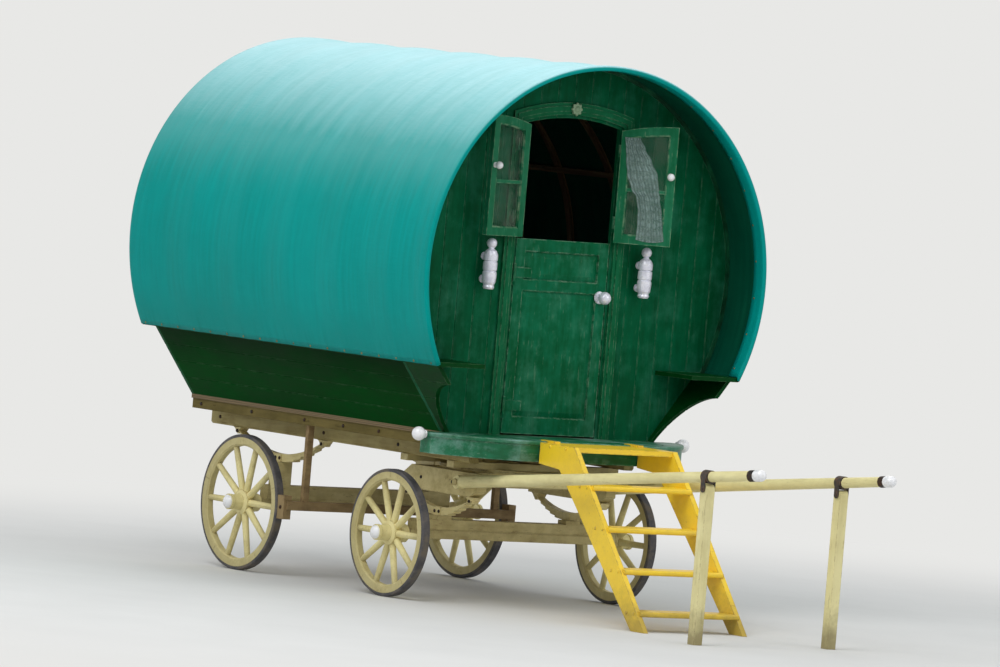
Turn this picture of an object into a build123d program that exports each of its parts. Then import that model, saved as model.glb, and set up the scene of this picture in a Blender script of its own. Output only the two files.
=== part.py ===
"""A bow-topped living wagon on four small wheels, parked on its shaft props with the steps hooked on.

+X is forward, towards the shafts, +Y is the wagon's left and +Z is up. The origin is on the ground,
below the middle of the whole length from the tail of the roof to the tips of the shafts.
"""
from build123d import *
import math
import os

os.makedirs("parts", exist_ok=True)

# Overall places along the wagon
canvas_length = 2640
rear_overhang = 710          # tail of the canvas to the rear axle
wheelbase = 1315
shaft_reach = 2600           # front axle to the shaft tips
porch_depth = 320            # front edge of the canvas to the front wall
tail_depth = 90              # tail of the canvas to the rear wall

# Body, with its heights above the floor
board = 22                   # floor, ledge and end wall boards
floor_half = 645
side_wall = 24
ledge_rise = 360
ledge_drop = 20              # the canvas hangs this far below the top of the ledge
side_head_half = 905         # half width over the sides, under the ledges
porch_ledge_inner = 640
inner_ledge_half = 790
bow_radius = 1055
bow_centre_rise = 822
canvas_thick = 6
bow_depth = 18
bow_width = 40
brow_bow_width = 60
bow_count = 6
slat_width = 32
slat_depth = 10
slat_angles = (-62, -31, 0, 31, 62)
seat_gap = 0.3               # between a curved seat and what lies in it

# Doorway and doors
door_width = 585
door_height = 1595           # floor to the crown of the door head
door_head_rise = 40          # arch of the head
lower_door_height = 986      # floor to where the lower door meets the upper leaves
leaf_thick = 26
side_boards = 4              # matched boards up each side
wall_board = 104             # width of a matched board in the end walls
wall_grooves = 9             # grooves each side of the middle one
groove_half = 4
groove_deep = 3
casing_width = 62            # moulded casing round the doorway
casing_thick = 12
casing_gap = 16              # from the doorway's edge to the casing, clear of the hinges
door_gap = 5
pivot_out = 10               # hinge pins stand this far in front of the wall
hinge_radius = 7
hinge_pin = 3
hinge_play = 0.5             # between a knuckle and the lug that carries it
hinge_lug = 20               # height of the lug under each knuckle
leaf_knuckle = 60
door_knuckle = 90
leaf_frame = 48
leaf_glass_thick = 4
glazing_bar = 18
glazing_bar_rise = 270
leaf_open_right = 165
leaf_open_left = 145
panel_depth = 9
panel_margin = 60            # stiles and rails of the lower door
panel_field = 26             # width of the bevel round a raised panel
bead = 5

# Rear window
window_width = 560
window_height = 420
window_sill_rise = 790
window_frame = 50

# Underworks
rail_y = 480
rail_width = 60
rail_depth = 75
bearer = 50
sill_width = 60              # timber along each bottom edge of the body
rail_nose = 60               # rails run this far in front of the wall, short of the raised shafts
joist_y = 230                # joists that carry the footboard on from the rails
rear_wheel_radius = 345
front_wheel_radius = 318
tyre_thick = 16
rim_width = 45
rim_depth = 42
rim_chamfer = 8
felloe_count = 5
felloe_joint = 1.5           # width and depth of the joint lines between the felloes
brake_gap = 8
track_outer_half = 725
nave_length = 175
nave_radius = 62
nave_nose = 62               # nose of the nave outside the rim face
nave_band = 4                # thickness of the iron bands on the nave
cap_radius = 34
cap_height = 26
cap_skirt = 6
cap_spigot = 12
axle_arm_radius = 17
arm_clearance = 0.1
spoke_count = 10
spoke_root_radius = 18
spoke_waist_radius = 12
spoke_head_radius = 15
axle_square = 42
spring_leaves = 5
leaf_strip = 8
spring_width = 44
spring_clip = 60
rear_spring_half = 380
rear_spring_rise = 215       # seat of the spring above the middle of the axle
rear_spring_sag = 90
rear_bed_rise = 95
front_spring_half = 270
front_spring_rise = 97
front_spring_sag = 60
front_bed_rise = 77
eye_radius = 15
hanger_drop = 19             # least depth of a spring hanger above its eye
hanger_root = 84             # width of a scroll iron where it meets the timber
futchell_y = 400
futchell_width = 60
futchell_depth = 120
futchell_back = 330
futchell_front = 330
ring_radius = 350
ring_width = 50
ring_thick = 10
ring_gap = 0.5
transom_depth = 32.5         # timbers between the upper ring and the rails
kingpin_radius = 16
timber_chamfer = 10

# Shafts and props
pivot_ahead = 230            # shaft pivots, ahead of the front axle
pivot_drop = 50              # shaft pivots below the top of the futchells
shaft_side_clear = 4         # between a futchell and the root of the shaft beside it
shaft_tip_y = 395
tip_z = 855
shaft_root_radius = 31
shaft_tip_radius = 25
shaft_eye_radius = 34
tip_cap_length = 62
tip_ferrule_length = 40
tip_cap_wall = 3
shaft_eye_width = 44
pivot_pin_radius = 10
cross_bar_ahead = 190        # shaft pivots to the cross bar
cross_bar_radius = 20
bar_gap = 0.8
trace_eye_y = 300
trace_eye_radius = 26
trace_eye_bore = 13
trace_eye_thick = 12
prop_back = 420              # props stand this far behind the tips
prop_size = 50
prop_play = 3                # between a prop and the ears beside it
prop_pin_radius = 6
prop_clear = 2               # between the head of a prop and the strap above it
ear_thick = 5
strap_width = 48

# Footboard, steps and small pieces
footboard_half = 780
footboard_depth = 380
footboard_thick = 22
footboard_flat_half = 430
footboard_end = 90           # straight ends of the footboard, beside the wall
apron_depth = 104            # curved apron under the front edge of the footboard
apron_thick = 22
apron_inset = 8
nosing = 7
step_half = 317
step_board = 28
step_deep = 110
step_shelf = 285             # level top of the steps, ahead of the footboard
step_run = 690               # from the end of the level top to the feet
step_treads = 4
tread_deep = 130
tread_thick = 26
tread_nose = 11
hook_width = 36
hook_thick = 5
hook_reach = 55
knob_radius = 35
knob_neck = 15
knob_pin = 6
handle_y = 480
handle_rise = 722            # floor to the foot of a grab handle
handle_radius = 36
handle_length = 207
handle_ball = 26
handle_stand = 58            # wall to the middle of a handle
latch_radius = 36
latch_drop = 273             # top of the lower door to its latch
leaf_knob_radius = 19
leaf_knob_rise = 350

# Places worked out from the sizes above
overall = rear_overhang + wheelbase + shaft_reach
x_tail = -overall / 2
x_rear_axle = x_tail + rear_overhang
x_front_axle = x_rear_axle + wheelbase
x_brow = x_tail + canvas_length
x_tip = overall / 2
x_wall = x_brow - porch_depth
x_rear_wall = x_tail + tail_depth
x_pivot = x_front_axle + pivot_ahead
shaft_root_y = futchell_y + futchell_width / 2 + shaft_side_clear + shaft_root_radius

# The heights stack up from the wheels; the taller of the two stacks carries the rails
spring_stack = spring_leaves * leaf_strip
rear_spring_seat = rear_wheel_radius + rear_spring_rise
front_spring_seat = front_wheel_radius + front_spring_rise
rear_eye_z = rear_spring_seat + spring_stack + rear_spring_sag - leaf_strip + 2
front_eye_z = front_spring_seat + spring_stack + front_spring_sag - leaf_strip + 2
futchell_top = front_eye_z + hanger_drop + 2 + futchell_depth
upper_ring_bottom = futchell_top + ring_thick + ring_gap
upper_ring_top = upper_ring_bottom + ring_thick
rail_bottom = max(upper_ring_top + transom_depth, rear_eye_z + hanger_drop)
rail_top = rail_bottom + rail_depth
floor_bottom = rail_top + bearer
floor_top = floor_bottom + board
ledge_top = floor_top + ledge_rise
bow_centre_z = floor_top + bow_centre_rise
door_head = floor_top + door_height
sill_split = floor_top + lower_door_height
window_bottom = floor_top + window_sill_rise
handle_bottom = floor_top + handle_rise
pivot_z = futchell_top - pivot_drop
ledge_bottom = ledge_top - board
canvas_inner = bow_radius - canvas_thick
bow_outer = canvas_inner - seat_gap
bow_inner = bow_outer - bow_depth
wall_radius = bow_inner - seat_gap
canvas_hem = ledge_top - ledge_drop
ledge_half = math.sqrt(canvas_inner ** 2 - (bow_centre_z - canvas_hem) ** 2) - seat_gap
rail_front = x_wall + rail_nose
x_footboard = x_wall + footboard_depth
x_brake = x_rear_axle + rear_wheel_radius + brake_gap
x_brake_beam = x_brake + 45
cabin_back = x_rear_wall + board
cabin_front = x_wall - board
cabin_length = cabin_front - cabin_back
x_hinge = x_wall + pivot_out
lower_width = door_width - 2 * door_gap
lower_bottom = floor_top + 8
lower_top = sill_split - 4
lower_height = lower_top - lower_bottom
leaf_width = door_width / 2 - 1.5 * door_gap
leaf_bottom = sill_split + 4
leaf_shoulder = door_head - door_head_rise - door_gap - leaf_bottom     # straight height at the hinge side
leaf_crown = door_head - door_gap - leaf_bottom
leaf_hinges = (70, leaf_shoulder - 130)                      # knuckle bottoms above the leaf's own bottom
door_hinges = (lower_bottom + 95, lower_top - 215)         # knuckle bottoms of the lower door
wall_hinges = [(side, leaf_bottom + z, leaf_knuckle) for side in (-1, 1) for z in leaf_hinges]
wall_hinges += [(-1, z, door_knuckle) for z in door_hinges]


def save(piece, name):
    """Labels a finished piece and writes it."""
    piece.part.label = name
    export_step(piece.part, f"parts/{name}.step")


def box_part(low, high):
    """A plain board or timber between two corners."""
    size = [b - a for a, b in zip(low, high)]
    middle = tuple((a + b) / 2 for a, b in zip(low, high))
    with BuildPart() as piece:
        with Locations(middle):
            Box(*size)
    return piece


def rod(start, end, radius, end_radius=None):
    """A round bar between two points, tapered when its far end has its own radius."""
    a, b = Vector(*start), Vector(*end)
    with BuildPart(Plane(origin=a, z_dir=b - a)) as piece:
        Cone(radius, (end_radius or radius) * 0.9999, (b - a).length,
             align=(Align.CENTER, Align.CENTER, Align.MIN))
    return piece


# Floor
floor = box_part((x_rear_wall, -floor_half, floor_bottom), (x_wall, floor_half, floor_top))
save(floor, "floor")

def side_outline(side):
    """Cross-section of a leaning side, its outer face grooved where the boards meet."""
    foot, head = (floor_half, floor_top), (side_head_half, ledge_bottom)
    length = math.dist(foot, head)
    up = ((head[0] - foot[0]) / length, (head[1] - foot[1]) / length)
    points = [foot]
    for i in range(1, side_boards):
        for along, deep in ((-groove_half, 0), (0, groove_deep), (groove_half, 0)):
            reach = length * i / side_boards + along
            points.append((foot[0] + up[0] * reach - up[1] * deep, foot[1] + up[1] * reach + up[0] * deep))
    points += [head, (side_head_half - side_wall, ledge_bottom), (floor_half - side_wall, floor_top)]
    with BuildSketch() as outline:
        with BuildLine():
            Polyline(*[(side * y, z) for y, z in points], close=True)
        make_face()
    return outline.sketch


def cut_grooves(face, way):
    """Upright grooves between the boards of an end wall, on the face that looks away from the cabin."""
    with BuildPart(mode=Mode.PRIVATE) as cut:
        with BuildSketch(Plane.XY.offset(floor_top - 1)):
            for i in range(-wall_grooves, wall_grooves + 1):
                y = i * wall_board
                with BuildLine():
                    Polyline((face + way * 0.3, y - groove_half - 0.4), (face + way * 0.3, y + groove_half + 0.4),
                             (face - way * groove_deep, y), close=True)
                make_face()
        extrude(amount=bow_radius + bow_centre_z - floor_top)
    return cut.part


# Sides, leaning out from the floor to the ledges
for name, side in (("side_right", -1), ("side_left", 1)):
    with BuildPart() as body_side:
        with BuildSketch(Plane.YZ.offset(cabin_back)):
            add(side_outline(side))
        extrude(amount=cabin_length)
    save(body_side, name)

# Ledges, wider in the porch, where a curved bracket carries them
for name, side in (("ledge_right", -1), ("ledge_left", 1)):
    with BuildPart() as ledge:
        with BuildSketch(Plane.XY.offset(ledge_bottom)):
            with BuildLine():
                Polyline(
                    (x_tail + 10, side * ledge_half),
                    (x_brow - 10, side * ledge_half),
                    (x_brow - 10, side * porch_ledge_inner),
                    (x_wall, side * porch_ledge_inner),
                    (x_wall, side * inner_ledge_half),
                    (x_tail + 10, side * inner_ledge_half),
                    close=True,
                )
            make_face()
        extrude(amount=board)
        with BuildSketch(Plane.YZ.offset(x_wall)):
            add(side_outline(side))
        extrude(amount=porch_depth - 40)
        # the hollow front edge of the bracket
        with Locations(Location((x_brow - 30, side * floor_half, floor_top - 10), (90, 0, 0))):
            Cylinder(porch_depth - 60, 3 * floor_half, mode=Mode.SUBTRACT)
    save(ledge, name)


# Outline of an end wall: the bow above the ledges, the slope of the sides below them
with BuildSketch() as end_wall:
    with Locations((0, bow_centre_z)):
        Circle(wall_radius)
    with Locations((0, ledge_top)):
        Rectangle(3 * bow_radius, 3 * bow_radius, align=(Align.CENTER, Align.MAX), mode=Mode.SUBTRACT)
    with BuildLine():
        Polyline(
            (-floor_half, floor_top),
            (floor_half, floor_top),
            (side_head_half, ledge_bottom),
            (inner_ledge_half, ledge_bottom),
            (inner_ledge_half, ledge_top),
            (-inner_ledge_half, ledge_top),
            (-inner_ledge_half, ledge_bottom),
            (-side_head_half, ledge_bottom),
            close=True,
        )
    make_face()

# Front wall with the doorway
with BuildPart() as front_wall:
    with BuildSketch(Plane.YZ.offset(cabin_front)):
        add(end_wall.sketch)
        with BuildLine():
            Line((-door_width / 2, floor_top), (door_width / 2, floor_top))
            Line((door_width / 2, floor_top), (door_width / 2, door_head - door_head_rise))
            ThreePointArc(
                (door_width / 2, door_head - door_head_rise),
                (0, door_head),
                (-door_width / 2, door_head - door_head_rise),
            )
            Line((-door_width / 2, door_head - door_head_rise), (-door_width / 2, floor_top))
        make_face(mode=Mode.SUBTRACT)
    extrude(amount=board)
    add(cut_grooves(x_wall, 1), mode=Mode.SUBTRACT)
    # the wall's half of each hinge: a lug with an upright pin
    for side, height, knuckle in wall_hinges:
        with Locations((x_hinge, side * door_width / 2, height - hinge_play)):
            Cylinder(hinge_radius, hinge_lug, align=(Align.CENTER, Align.CENTER, Align.MAX))
        with Locations((x_wall, side * (door_width / 2 + 6), height - hinge_play)):
            Box(pivot_out, 12, hinge_lug, align=(Align.MIN, Align.CENTER, Align.MAX))
        with Locations((x_hinge, side * door_width / 2, height - hinge_lug)):
            Cylinder(hinge_pin, knuckle + hinge_lug - 4, align=(Align.CENTER, Align.CENTER, Align.MIN))
save(front_wall, "front_wall")

# Moulded casing round the doorway, outside the hinges
head_radius = ((door_width / 2) ** 2 + door_head_rise ** 2) / (2 * door_head_rise)
with BuildPart() as casing:
    for reach, thick in ((casing_width, casing_thick), (casing_width - 18, casing_thick + bead)):
        with BuildSketch(Plane.YZ.offset(x_wall)):
            for edge, mode in ((casing_gap + reach, Mode.ADD), (casing_gap + casing_width - reach, Mode.SUBTRACT)):
                with BuildSketch(mode=mode):
                    with Locations((0, floor_top)):
                        Rectangle(door_width + 2 * edge, 2 * door_height, align=(Align.CENTER, Align.MIN))
                    with Locations((0, door_head - head_radius)):
                        Circle(head_radius + edge, mode=Mode.INTERSECT)
        extrude(amount=thick)
save(casing, "door_casing")

# Rear wall, its window and the pane
window_middle = window_bottom + window_height / 2
with BuildPart() as rear_wall:
    with BuildSketch(Plane.YZ.offset(x_rear_wall)):
        add(end_wall.sketch)
        with Locations((0, window_middle)):
            Rectangle(window_width, window_height, mode=Mode.SUBTRACT)
    extrude(amount=board)
    add(cut_grooves(x_rear_wall, -1), mode=Mode.SUBTRACT)
save(rear_wall, "rear_wall")

with BuildPart() as rear_window:
    with BuildSketch(Plane.YZ.offset(x_rear_wall - 6)):
        with Locations((0, window_middle)):
            Rectangle(window_width - 2 * seat_gap, window_height - 2 * seat_gap)
            Rectangle(window_width - 2 * window_frame, window_height - 2 * window_frame, mode=Mode.SUBTRACT)
            Rectangle(24, window_height - window_frame)
    extrude(amount=board + 6)
    # sill board outside
    with Locations((x_rear_wall - seat_gap, 0, window_bottom)):
        Box(42, window_width + 60, 20, align=(Align.MAX, Align.CENTER, Align.MAX))
    with Locations((x_rear_wall - 3, 0, window_bottom - 5)):
        Box(6, window_width - 20, 14, align=(Align.MAX, Align.CENTER, Align.MIN))
    with BuildSketch(Plane.YZ.offset(x_rear_wall + board / 2 - 3)):
        with Locations((0, window_middle)):
            Rectangle(window_width - 2 * window_frame + 16, window_height - 2 * window_frame + 16)
    extrude(amount=leaf_glass_thick, mode=Mode.SUBTRACT)
save(rear_window, "rear_window")

with BuildPart() as rear_glass:
    with BuildSketch(Plane.YZ.offset(x_rear_wall + board / 2 - 3)):
        with Locations((0, window_middle)):
            Rectangle(window_width - 2 * window_frame + 15, window_height - 2 * window_frame + 15)
    extrude(amount=leaf_glass_thick)
save(rear_glass, "rear_glass")

# Roof bows and the slats between the walls
bow_places = [x_rear_wall - 20 + i * (x_wall - 10 - x_rear_wall) / (bow_count - 1) for i in range(bow_count)]
with BuildPart() as roof_bows:
    for x, width in [(x, bow_width) for x in bow_places] + [(x_brow - brow_bow_width - 12, brow_bow_width)]:
        with BuildSketch(Plane.YZ.offset(x)):
            with Locations((0, bow_centre_z)):
                Circle(bow_outer)
                Circle(bow_inner, mode=Mode.SUBTRACT)
            with Locations((0, ledge_top)):
                Rectangle(3 * bow_radius, 3 * bow_radius, align=(Align.CENTER, Align.MAX), mode=Mode.SUBTRACT)
        extrude(amount=width)
    for angle in slat_angles:
        with BuildSketch(Plane.YZ.offset(cabin_back)):
            turn = math.radians(angle)
            reach = bow_inner - 2
            with Locations(Location((reach * math.sin(turn), bow_centre_z + reach * math.cos(turn)), -angle)):
                Rectangle(slat_width, slat_depth, align=(Align.CENTER, Align.MAX))
        extrude(amount=cabin_length)
save(roof_bows, "roof_bows")

# Canvas, a closed sheet over the bows down past the ledges
with BuildPart() as canvas:
    with BuildSketch(Plane.YZ.offset(x_tail)):
        with Locations((0, bow_centre_z)):
            Circle(bow_radius)
            Circle(canvas_inner, mode=Mode.SUBTRACT)
        with Locations((0, canvas_hem)):
            Rectangle(3 * bow_radius, 3 * bow_radius, align=(Align.CENTER, Align.MAX), mode=Mode.SUBTRACT)
    extrude(amount=canvas_length)
save(canvas, "roof_canvas")

# Footboard with a swept front edge and a curved apron under it
with BuildSketch() as footboard_outline:
    with BuildLine():
        Polyline(
            (x_wall + footboard_end, footboard_half),
            (x_wall - 2 * apron_depth, footboard_half),
            (x_wall - 2 * apron_depth, -footboard_half),
            (x_wall + footboard_end, -footboard_half),
        )
        ThreePointArc(
            (x_wall + footboard_end, -footboard_half),
            (x_wall + 0.68 * footboard_depth, -footboard_half + 130),
            (x_footboard, -footboard_flat_half),
        )
        Line((x_footboard, -footboard_flat_half), (x_footboard, footboard_flat_half))
        ThreePointArc(
            (x_footboard, footboard_flat_half),
            (x_wall + 0.68 * footboard_depth, footboard_half - 130),
            (x_wall + footboard_end, footboard_half),
        )
    make_face()

footboard_bottom = floor_top - footboard_thick
x_knob = x_wall + footboard_end / 2
z_knob = floor_top - footboard_thick / 2
with BuildPart() as footboard:
    with BuildSketch(Plane.XY.offset(footboard_bottom)):
        add(footboard_outline.sketch)
    extrude(amount=footboard_thick)
    rims = footboard.edges().filter_by(lambda edge: edge.center().X > x_wall and edge.is_interior is False
                                       and abs(abs(edge.center().Z - z_knob) - footboard_thick / 2) < 0.01)
    fillet(rims, radius=nosing)
    with BuildSketch(Plane.XY.offset(floor_top - apron_depth)):
        add(offset(footboard_outline.sketch, amount=-apron_inset, mode=Mode.PRIVATE))
        add(offset(footboard_outline.sketch, amount=-apron_inset - apron_thick, mode=Mode.PRIVATE), mode=Mode.SUBTRACT)
    extrude(amount=apron_depth - footboard_thick)
    # cut off behind the wall, and bored for the pins of the knobs
    with Locations((x_wall, 0, floor_top)):
        Box(1000, 3 * footboard_half, 3 * apron_depth, align=(Align.MAX, Align.CENTER, Align.CENTER), mode=Mode.SUBTRACT)
    for side in (-1, 1):
        with BuildSketch(Plane.XZ.offset(-side * (footboard_half - 40))):
            with Locations((x_knob, z_knob)):
                Circle(knob_pin + arm_clearance)
        extrude(amount=-side * 60, mode=Mode.SUBTRACT)
save(footboard, "footboard")

# White knobs pinned into the ends of the footboard
with BuildPart() as knobs:
    for side in (-1, 1):
        ball_out = 6 + math.sqrt(knob_radius ** 2 - knob_neck ** 2)
        with BuildSketch(Plane(origin=(x_knob, side * footboard_half, z_knob), x_dir=(1, 0, 0), z_dir=(0, 0, 1))):
            with BuildLine():
                Polyline((0, -side * 36), (knob_pin, -side * 36), (knob_pin, 0), (knob_neck + 5, 0),
                         (knob_neck, side * 6), (knob_neck, side * ball_out), (0, side * ball_out), close=True)
            make_face()
        revolve(axis=Axis((x_knob, side * footboard_half, z_knob), (0, 1, 0)))
        with Locations((x_knob, side * (footboard_half + ball_out), z_knob)):
            Sphere(knob_radius)
save(knobs, "footboard_knobs")

# Turned grab handles on the front wall
x_handle = x_wall + handle_stand
with BuildPart() as handles:
    for side in (-1, 1):
        y = side * handle_y
        with BuildSketch(Plane(origin=(x_handle, y, handle_bottom), x_dir=(1, 0, 0), z_dir=(0, -1, 0))):
            with BuildLine():
                Polyline(
                    (0, 0), (handle_radius - 12, 0), (handle_radius - 6, 10), (handle_radius - 10, 20),
                    (handle_radius - 3, 34), (handle_radius, 60), (handle_radius, 84), (handle_radius - 5, 90),
                    (handle_radius, 96), (handle_radius, 132), (handle_radius - 5, 138), (handle_radius, 144),
                    (handle_radius, 172), (handle_radius - 8, 190), (handle_ball - 12, handle_length - 6),
                    (handle_ball - 14, handle_length), (0, handle_length), close=True,
                )
            make_face()
        revolve(axis=Axis((x_handle, y, handle_bottom), (0, 0, 1)))
        with Locations((x_handle, y, handle_bottom + handle_length + handle_ball - 5)):
            Sphere(handle_ball)
        for height in (48, handle_length - 46):
            with BuildSketch(Plane.YZ.offset(x_wall)):
                with Locations((y, handle_bottom + height)):
                    Circle(20)
            extrude(amount=5)
            with BuildSketch(Plane.YZ.offset(x_wall)):
                with Locations((y, handle_bottom + height)):
                    Circle(10)
            extrude(amount=handle_stand)
save(handles, "grab_handles")

# Rails under the body and the bearers across them
rail_back = x_rear_wall
with BuildPart() as rails:
    for side in (-1, 1):
        with Locations(((rail_back + rail_front) / 2, side * rail_y, rail_bottom + rail_depth / 2)):
            Box(rail_front - rail_back, rail_width, rail_depth)
    lower_outer = rails.edges().filter_by(Axis.X).filter_by(
        lambda edge: edge.center().Z < rail_bottom + 1 and abs(edge.center().Y) > rail_y)
    chamfer(lower_outer, length=timber_chamfer)
save(rails, "chassis_rails")

bearer_half = floor_half - 10
bearer_places = [x_rear_wall + 80, x_brake_beam, x_front_axle - 260, rail_front - bearer / 2]
with BuildPart() as bearers:
    for x in bearer_places:
        with Locations((x, 0, floor_bottom - bearer / 2)):
            Box(bearer, 2 * bearer_half, bearer)
    for side in (-1, 1):
        with Locations(((x_rear_wall + x_wall) / 2, side * (bearer_half - sill_width / 2), floor_bottom - bearer / 2)):
            Box(x_wall - x_rear_wall, sill_width, bearer)
    joist_end = x_footboard - apron_inset - apron_thick
    for side in (-1, 1):
        with Locations(((rail_front + joist_end) / 2, side * joist_y, floor_bottom - bearer / 2)):
            Box(joist_end - rail_front, bearer, bearer)
save(bearers, "floor_bearers")


def spring(x, y, seat, half, sag, hanger_top):
    """A leaf spring, hollow side up, on its seat, with eyes and the irons that hang it."""
    inner = (half ** 2 + sag ** 2) / (2 * sag)
    stack = spring_stack
    centre_z = seat + stack + inner - leaf_strip
    side_plane = Plane(origin=(x, y, 0), x_dir=(1, 0, 0), z_dir=(0, -1, 0))
    eye_z = centre_z - math.sqrt(inner ** 2 - half ** 2) + 2
    with BuildPart() as piece:
        for i in range(spring_leaves):
            reach = half * (1 - 0.8 * i / spring_leaves)
            with BuildSketch(side_plane):
                with Locations((0, centre_z)):
                    Circle(inner + (i + 1) * leaf_strip - leaf_strip)
                    Circle(inner + i * leaf_strip - leaf_strip, mode=Mode.SUBTRACT)
                with Locations((0, seat)):
                    Rectangle(2 * reach, 2 * sag + 2 * stack, mode=Mode.INTERSECT)
            extrude(amount=spring_width / 2, both=True)
        for end in (-1, 1):
            with BuildSketch(side_plane):
                with Locations((end * half, eye_z)):
                    Circle(eye_radius)
            extrude(amount=spring_width / 2, both=True)
            # scroll iron, wide where it meets the timber and narrow at the eye
            middle, drop = end * half, hanger_top - eye_z
            neck = hanger_top - min(0.9 * drop, hanger_root / 2 - 14)
            with BuildSketch(side_plane):
                with BuildLine():
                    Line((middle - hanger_root / 2, hanger_top), (middle + hanger_root / 2, hanger_top))
                    for way in (-1, 1):
                        TangentArc((middle + way * hanger_root / 2, hanger_top), (middle + way * 14, neck),
                                   tangent=(-way, 0))
                    Polyline((middle + 14, neck), (middle + 12, eye_z), (middle - 12, eye_z), (middle - 14, neck))
                make_face()
            extrude(amount=spring_width / 2 + 6, both=True)
        # the clip round the middle of the leaves
        with Locations((x, y, seat + stack / 2)):
            Box(spring_clip, spring_width + 8, stack)
    return piece


springs = (
    # name, axle, half spacing with its side, seat height, half length, sag, height of the hanger's top
    ("rear_spring_right", x_rear_axle, -rail_y, rear_spring_seat, rear_spring_half, rear_spring_sag, rail_bottom),
    ("rear_spring_left", x_rear_axle, rail_y, rear_spring_seat, rear_spring_half, rear_spring_sag, rail_bottom),
    ("front_spring_right", x_front_axle, -futchell_y, front_spring_seat, front_spring_half,
     front_spring_sag, futchell_top - futchell_depth),
    ("front_spring_left", x_front_axle, futchell_y, front_spring_seat, front_spring_half,
     front_spring_sag, futchell_top - futchell_depth),
)
for name, x, y, seat, half, sag, top in springs:
    save(spring(x, y, seat, half, sag, top), name)


# Axles: an iron bar with turned arms, in a timber bed that carries the springs
arm_start = track_outer_half + nave_nose - nave_length - 20
arm_end = track_outer_half + nave_nose - cap_spigot - 12


def axle(x, radius, bed_rise, seat_y, seat_top):
    """An axle at its wheel's height with its bed; the bed rises to the spring seats."""
    bar_top = radius + axle_square / 2
    bed_top = radius + bed_rise
    with BuildPart() as piece:
        with Locations((x, 0, radius)):
            Box(axle_square, 2 * arm_start, axle_square)
        with BuildSketch(Plane.XZ.offset(-arm_end)):
            with Locations((x, radius)):
                Circle(axle_arm_radius)
        extrude(amount=2 * arm_end)
        with BuildSketch(Plane.XZ.offset(-arm_start + 20)):
            with Locations((x, (bar_top + bed_top) / 2)):
                bed = Rectangle(70, bed_top - bar_top)
                chamfer(bed.vertices().group_by(Axis.Y)[0], length=8)
        extrude(amount=2 * arm_start - 40)
        for side in (-1, 1):
            with Locations((x, side * seat_y, (bed_top + seat_top) / 2)):
                Box(70, 90, seat_top - bed_top)
    return piece


save(axle(x_rear_axle, rear_wheel_radius, rear_bed_rise, rail_y, rear_spring_seat), "rear_axle")
save(axle(x_front_axle, front_wheel_radius, front_bed_rise, futchell_y, front_spring_seat), "front_axle")

# Brake: a beam on two hangers with a block in front of each rear tyre
with BuildPart() as brake:
    with Locations((x_brake_beam, 0, rear_wheel_radius + 20)):
        Box(40, 2 * track_outer_half - 30, 46)
    for side in (-1, 1):
        with Locations((x_brake + 25, side * (track_outer_half - rim_width / 2), rear_wheel_radius + 10)):
            Box(60, rim_width, 120)
        with Locations((x_brake_beam, side * (floor_half - 50), (rear_wheel_radius + rail_top) / 2)):
            Box(26, 34, rail_top - rear_wheel_radius)
    with Locations(Location((x_rear_axle, 0, rear_wheel_radius), (90, 0, 0))):
        Cylinder(rear_wheel_radius + brake_gap, 3 * track_outer_half, mode=Mode.SUBTRACT)
save(brake, "brake")

# Turntable: the upper ring hangs from the rails with the kingpin, the lower ring turns on the futchells
transom_width = 60
with BuildPart() as turntable_upper:
    with BuildSketch(Plane.XY.offset(upper_ring_bottom)):
        with Locations((x_front_axle, 0)):
            Circle(ring_radius)
            Circle(ring_radius - ring_width, mode=Mode.SUBTRACT)
            Rectangle(100, 2 * ring_radius - ring_width)
    extrude(amount=ring_thick)
    for end in (-1, 1):
        with Locations((x_front_axle + end * 200, 0, (upper_ring_top + rail_bottom) / 2)):
            Box(transom_width, 2 * rail_y + rail_width, rail_bottom - upper_ring_top)
    with Locations((x_front_axle, 0, upper_ring_top)):
        Cylinder(kingpin_radius, upper_ring_top - futchell_top + 60, align=(Align.CENTER, Align.CENTER, Align.MAX))
    with Locations((x_front_axle, 0, (upper_ring_top + rail_bottom) / 2)):
        Box(400, 90, rail_bottom - upper_ring_top)
save(turntable_upper, "turntable_upper")

with BuildPart() as turntable_lower:
    with BuildSketch(Plane.XY.offset(futchell_top)):
        with Locations((x_front_axle, 0)):
            Circle(ring_radius)
            Circle(ring_radius - ring_width, mode=Mode.SUBTRACT)
    extrude(amount=ring_thick)
    for end in (-1, 1):
        with Locations((x_front_axle + end * 200, 0, futchell_top - 35)):
            Box(transom_width, 2 * futchell_y - futchell_width, 70)
    with Locations((x_front_axle, 0, futchell_top - 35)):
        Box(400, 110, 60)
    with Locations((x_front_axle, 0, futchell_top)):
        Cylinder(kingpin_radius + arm_clearance, 400, mode=Mode.SUBTRACT)
save(turntable_lower, "turntable_lower")

# Futchells: the fore-carriage beams, with the pins that the shafts turn on
pin_end = shaft_root_y + shaft_eye_width / 2 + 6
with BuildPart() as futchells:
    for side in (-1, 1):
        with BuildSketch(Plane.XZ.offset(-side * futchell_y)):
            with BuildLine():
                Polyline(
                    (x_front_axle - futchell_back, futchell_top - 60),
                    (x_front_axle - futchell_back + 90, futchell_top),
                    (x_front_axle + futchell_front, futchell_top),
                    (x_front_axle + futchell_front, futchell_top - futchell_depth + 30),
                    (x_front_axle + futchell_front - 60, futchell_top - futchell_depth),
                    (x_front_axle - futchell_back, futchell_top - futchell_depth),
                    close=True,
                )
            make_face()
        extrude(amount=futchell_width / 2, both=True)
        with BuildSketch(Plane.XZ.offset(-side * futchell_y)):
            with Locations((x_pivot, pivot_z)):
                Circle(pivot_pin_radius)
        extrude(amount=-side * (pin_end - futchell_y))
        with BuildSketch(Plane.XZ.offset(-side * pin_end)):
            with Locations((x_pivot, pivot_z)):
                Circle(pivot_pin_radius + 7)
        extrude(amount=-side * 8)
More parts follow.
